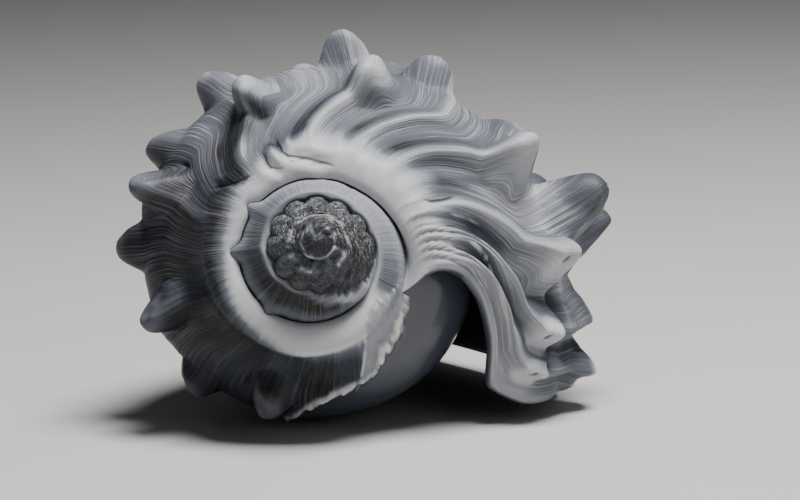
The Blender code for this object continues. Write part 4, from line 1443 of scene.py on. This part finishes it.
# %% The shell's material and its place in the frame
def shell_material():
    material = bpy.data.materials.new("shell lime")
    material.use_nodes = True
    nodes = Nodes(material)
    fact = {name: nodes.fact(name) for name in FACTS}
    pattern, bell = shell_patterns(nodes, fact), cleft_bell(nodes, fact)
    smooth = nodes.math("MAXIMUM", fact["glaze"], nodes.math("MULTIPLY", fact["film"], 0.7))
    shader = material.node_tree.nodes["Principled BSDF"]
    nodes.fill(shader, {"Base Color": shell_colour(nodes, fact, pattern, bell),
                        "Normal": shell_bump(nodes, fact, pattern, smooth, bell),
                        "Subsurface Weight": 0.12,
                        "Subsurface Radius": (0.0012, 0.0010, 0.0008),
                        "Subsurface Scale": 1.0})
    nodes.fill(shader, shell_gloss(nodes, fact, pattern, smooth))
    return material


conch.data.materials.append(shell_material())
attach(conch, "root")
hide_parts("shell")
print("finish done with", len(conch.data.materials[0].node_tree.nodes), "nodes")

# %% [markdown]
# ## Floor, light and camera
#
# The floor is one pale sheet that curves up far behind the shell, in metres. A large soft light hangs
# high above, a little to the right and in front, as the shadows of the spines tell. A weak one in
# front at the right lifts the shadows.

# %% The floor
FLOOR_HALF = 1.6
FLOOR_BACK = 1.1
SWEEP = 0.45


def floor_material():
    material = bpy.data.materials.new("pale paper")
    material.use_nodes = True
    nodes = Nodes(material)
    place = nodes.add("ShaderNodeTexCoord").outputs["Object"]
    tone = nodes.mix(nodes.noise(place, 30.0), (0.54, 0.535, 0.525, 1), (0.57, 0.565, 0.555, 1))
    nodes.fill(material.node_tree.nodes["Principled BSDF"], {"Base Color": tone, "Roughness": 0.75})
    return material


def floor_sheet():
    """A sheet that lies flat and then bends up in a quarter circle."""
    bend = [(FLOOR_BACK + SWEEP * sin(a), SWEEP * (1 - cos(a))) for a in np.linspace(0, pi / 2, 16)]
    side = [(-FLOOR_HALF, 0)] + bend + [(FLOOR_BACK + SWEEP, FLOOR_HALF)]
    points = [(x, y, z) for y, z in side for x in (-FLOOR_HALF, FLOOR_HALF)]
    faces = [(2 * k, 2 * k + 1, 2 * k + 3, 2 * k + 2) for k in range(len(side) - 1)]
    sheet = bpy.data.meshes.new("floor")
    sheet.from_pydata(points, [], faces)
    sheet.shade_smooth()
    floor = bpy.data.objects.new("floor", sheet)
    bpy.context.scene.collection.objects.link(floor)
    floor.data.materials.append(floor_material())


floor_sheet()
print("the floor is", 2 * FLOOR_HALF, "m wide")

# %% Lights
def area_light(name, place, target, size, power, colour):
    light = bpy.data.lights.new(name, "AREA")
    light.shape = "DISK"
    light.size, light.energy, light.color = size, power, colour
    lamp = bpy.data.objects.new(name, light)
    lamp.location = place
    lamp.rotation_mode = "QUATERNION"
    lamp.rotation_quaternion = (Vector(target) - Vector(place)).to_track_quat("-Z", "Y")
    bpy.context.scene.collection.objects.link(lamp)


SHELL_MIDDLE = (0, 0, 0.027)
area_light("key", (0.10, -0.10, 0.50), SHELL_MIDDLE, 0.24, 5.2, (1.0, 0.99, 0.97))
area_light("fill", (0.45, -0.6, 0.25), SHELL_MIDDLE, 0.5, 0.45, (0.92, 0.96, 1.0))
world = bpy.data.worlds.new("studio")
world.use_nodes = True
world.node_tree.nodes["Background"].inputs["Color"].default_value = (0.80, 0.85, 0.92, 1)
world.node_tree.nodes["Background"].inputs["Strength"].default_value = 0.07
bpy.context.scene.world = world

# %% [markdown]
# The camera is low, looks along the axis and is rolled a little, as the real one was held. Its
# distance is a guess, as a photograph of a small thing is often taken from half a metre. The scale is
# 0.14 mm to a pixel, and the apex lies at pixel 318, 241 of 800 by 500.

# %% The camera
PICTURE_WIDTH, PICTURE_HEIGHT = 800, 500
MM_PER_PIXEL = 0.14
CAMERA_DISTANCE = 0.5
SCALE_DEPTH = 0.025
CAMERA_PITCH = AXIS_TILT - radians(7.0)
CAMERA_ROLL = radians(-1.5)
APEX_PIXEL = (318, 241)
SENSOR = 36.0

apex_index = int(np.flatnonzero((np.concatenate(skin.points) == 0).all(1))[0])
apex = Vector(placed[apex_index])
ahead = Vector((0, cos(CAMERA_PITCH), -sin(CAMERA_PITCH)))
right, up = Vector((1, 0, 0)), Vector((0, sin(CAMERA_PITCH), cos(CAMERA_PITCH)))
right, up = (cos(CAMERA_ROLL) * right + sin(CAMERA_ROLL) * up,
             cos(CAMERA_ROLL) * up - sin(CAMERA_ROLL) * right)
apex_distance = CAMERA_DISTANCE - SCALE_DEPTH
pixel = MM_PER_PIXEL * MM * apex_distance / CAMERA_DISTANCE
centre = (apex + right * (PICTURE_WIDTH / 2 - APEX_PIXEL[0]) * pixel
          - up * (PICTURE_HEIGHT / 2 - APEX_PIXEL[1]) * pixel)
lens = bpy.data.cameras.new("camera")
lens.sensor_width = SENSOR
lens.lens = SENSOR * CAMERA_DISTANCE / (PICTURE_WIDTH * MM_PER_PIXEL * MM)
camera = bpy.data.objects.new("camera", lens)
camera.matrix_world = Matrix((right, up, -ahead)).transposed().to_4x4()
camera.location = centre - ahead * apex_distance
bpy.context.scene.collection.objects.link(camera)
bpy.context.scene.camera = camera
print("lens", round(lens.lens, 1), "mm, pitch", round(degrees(CAMERA_PITCH), 1), "degrees")
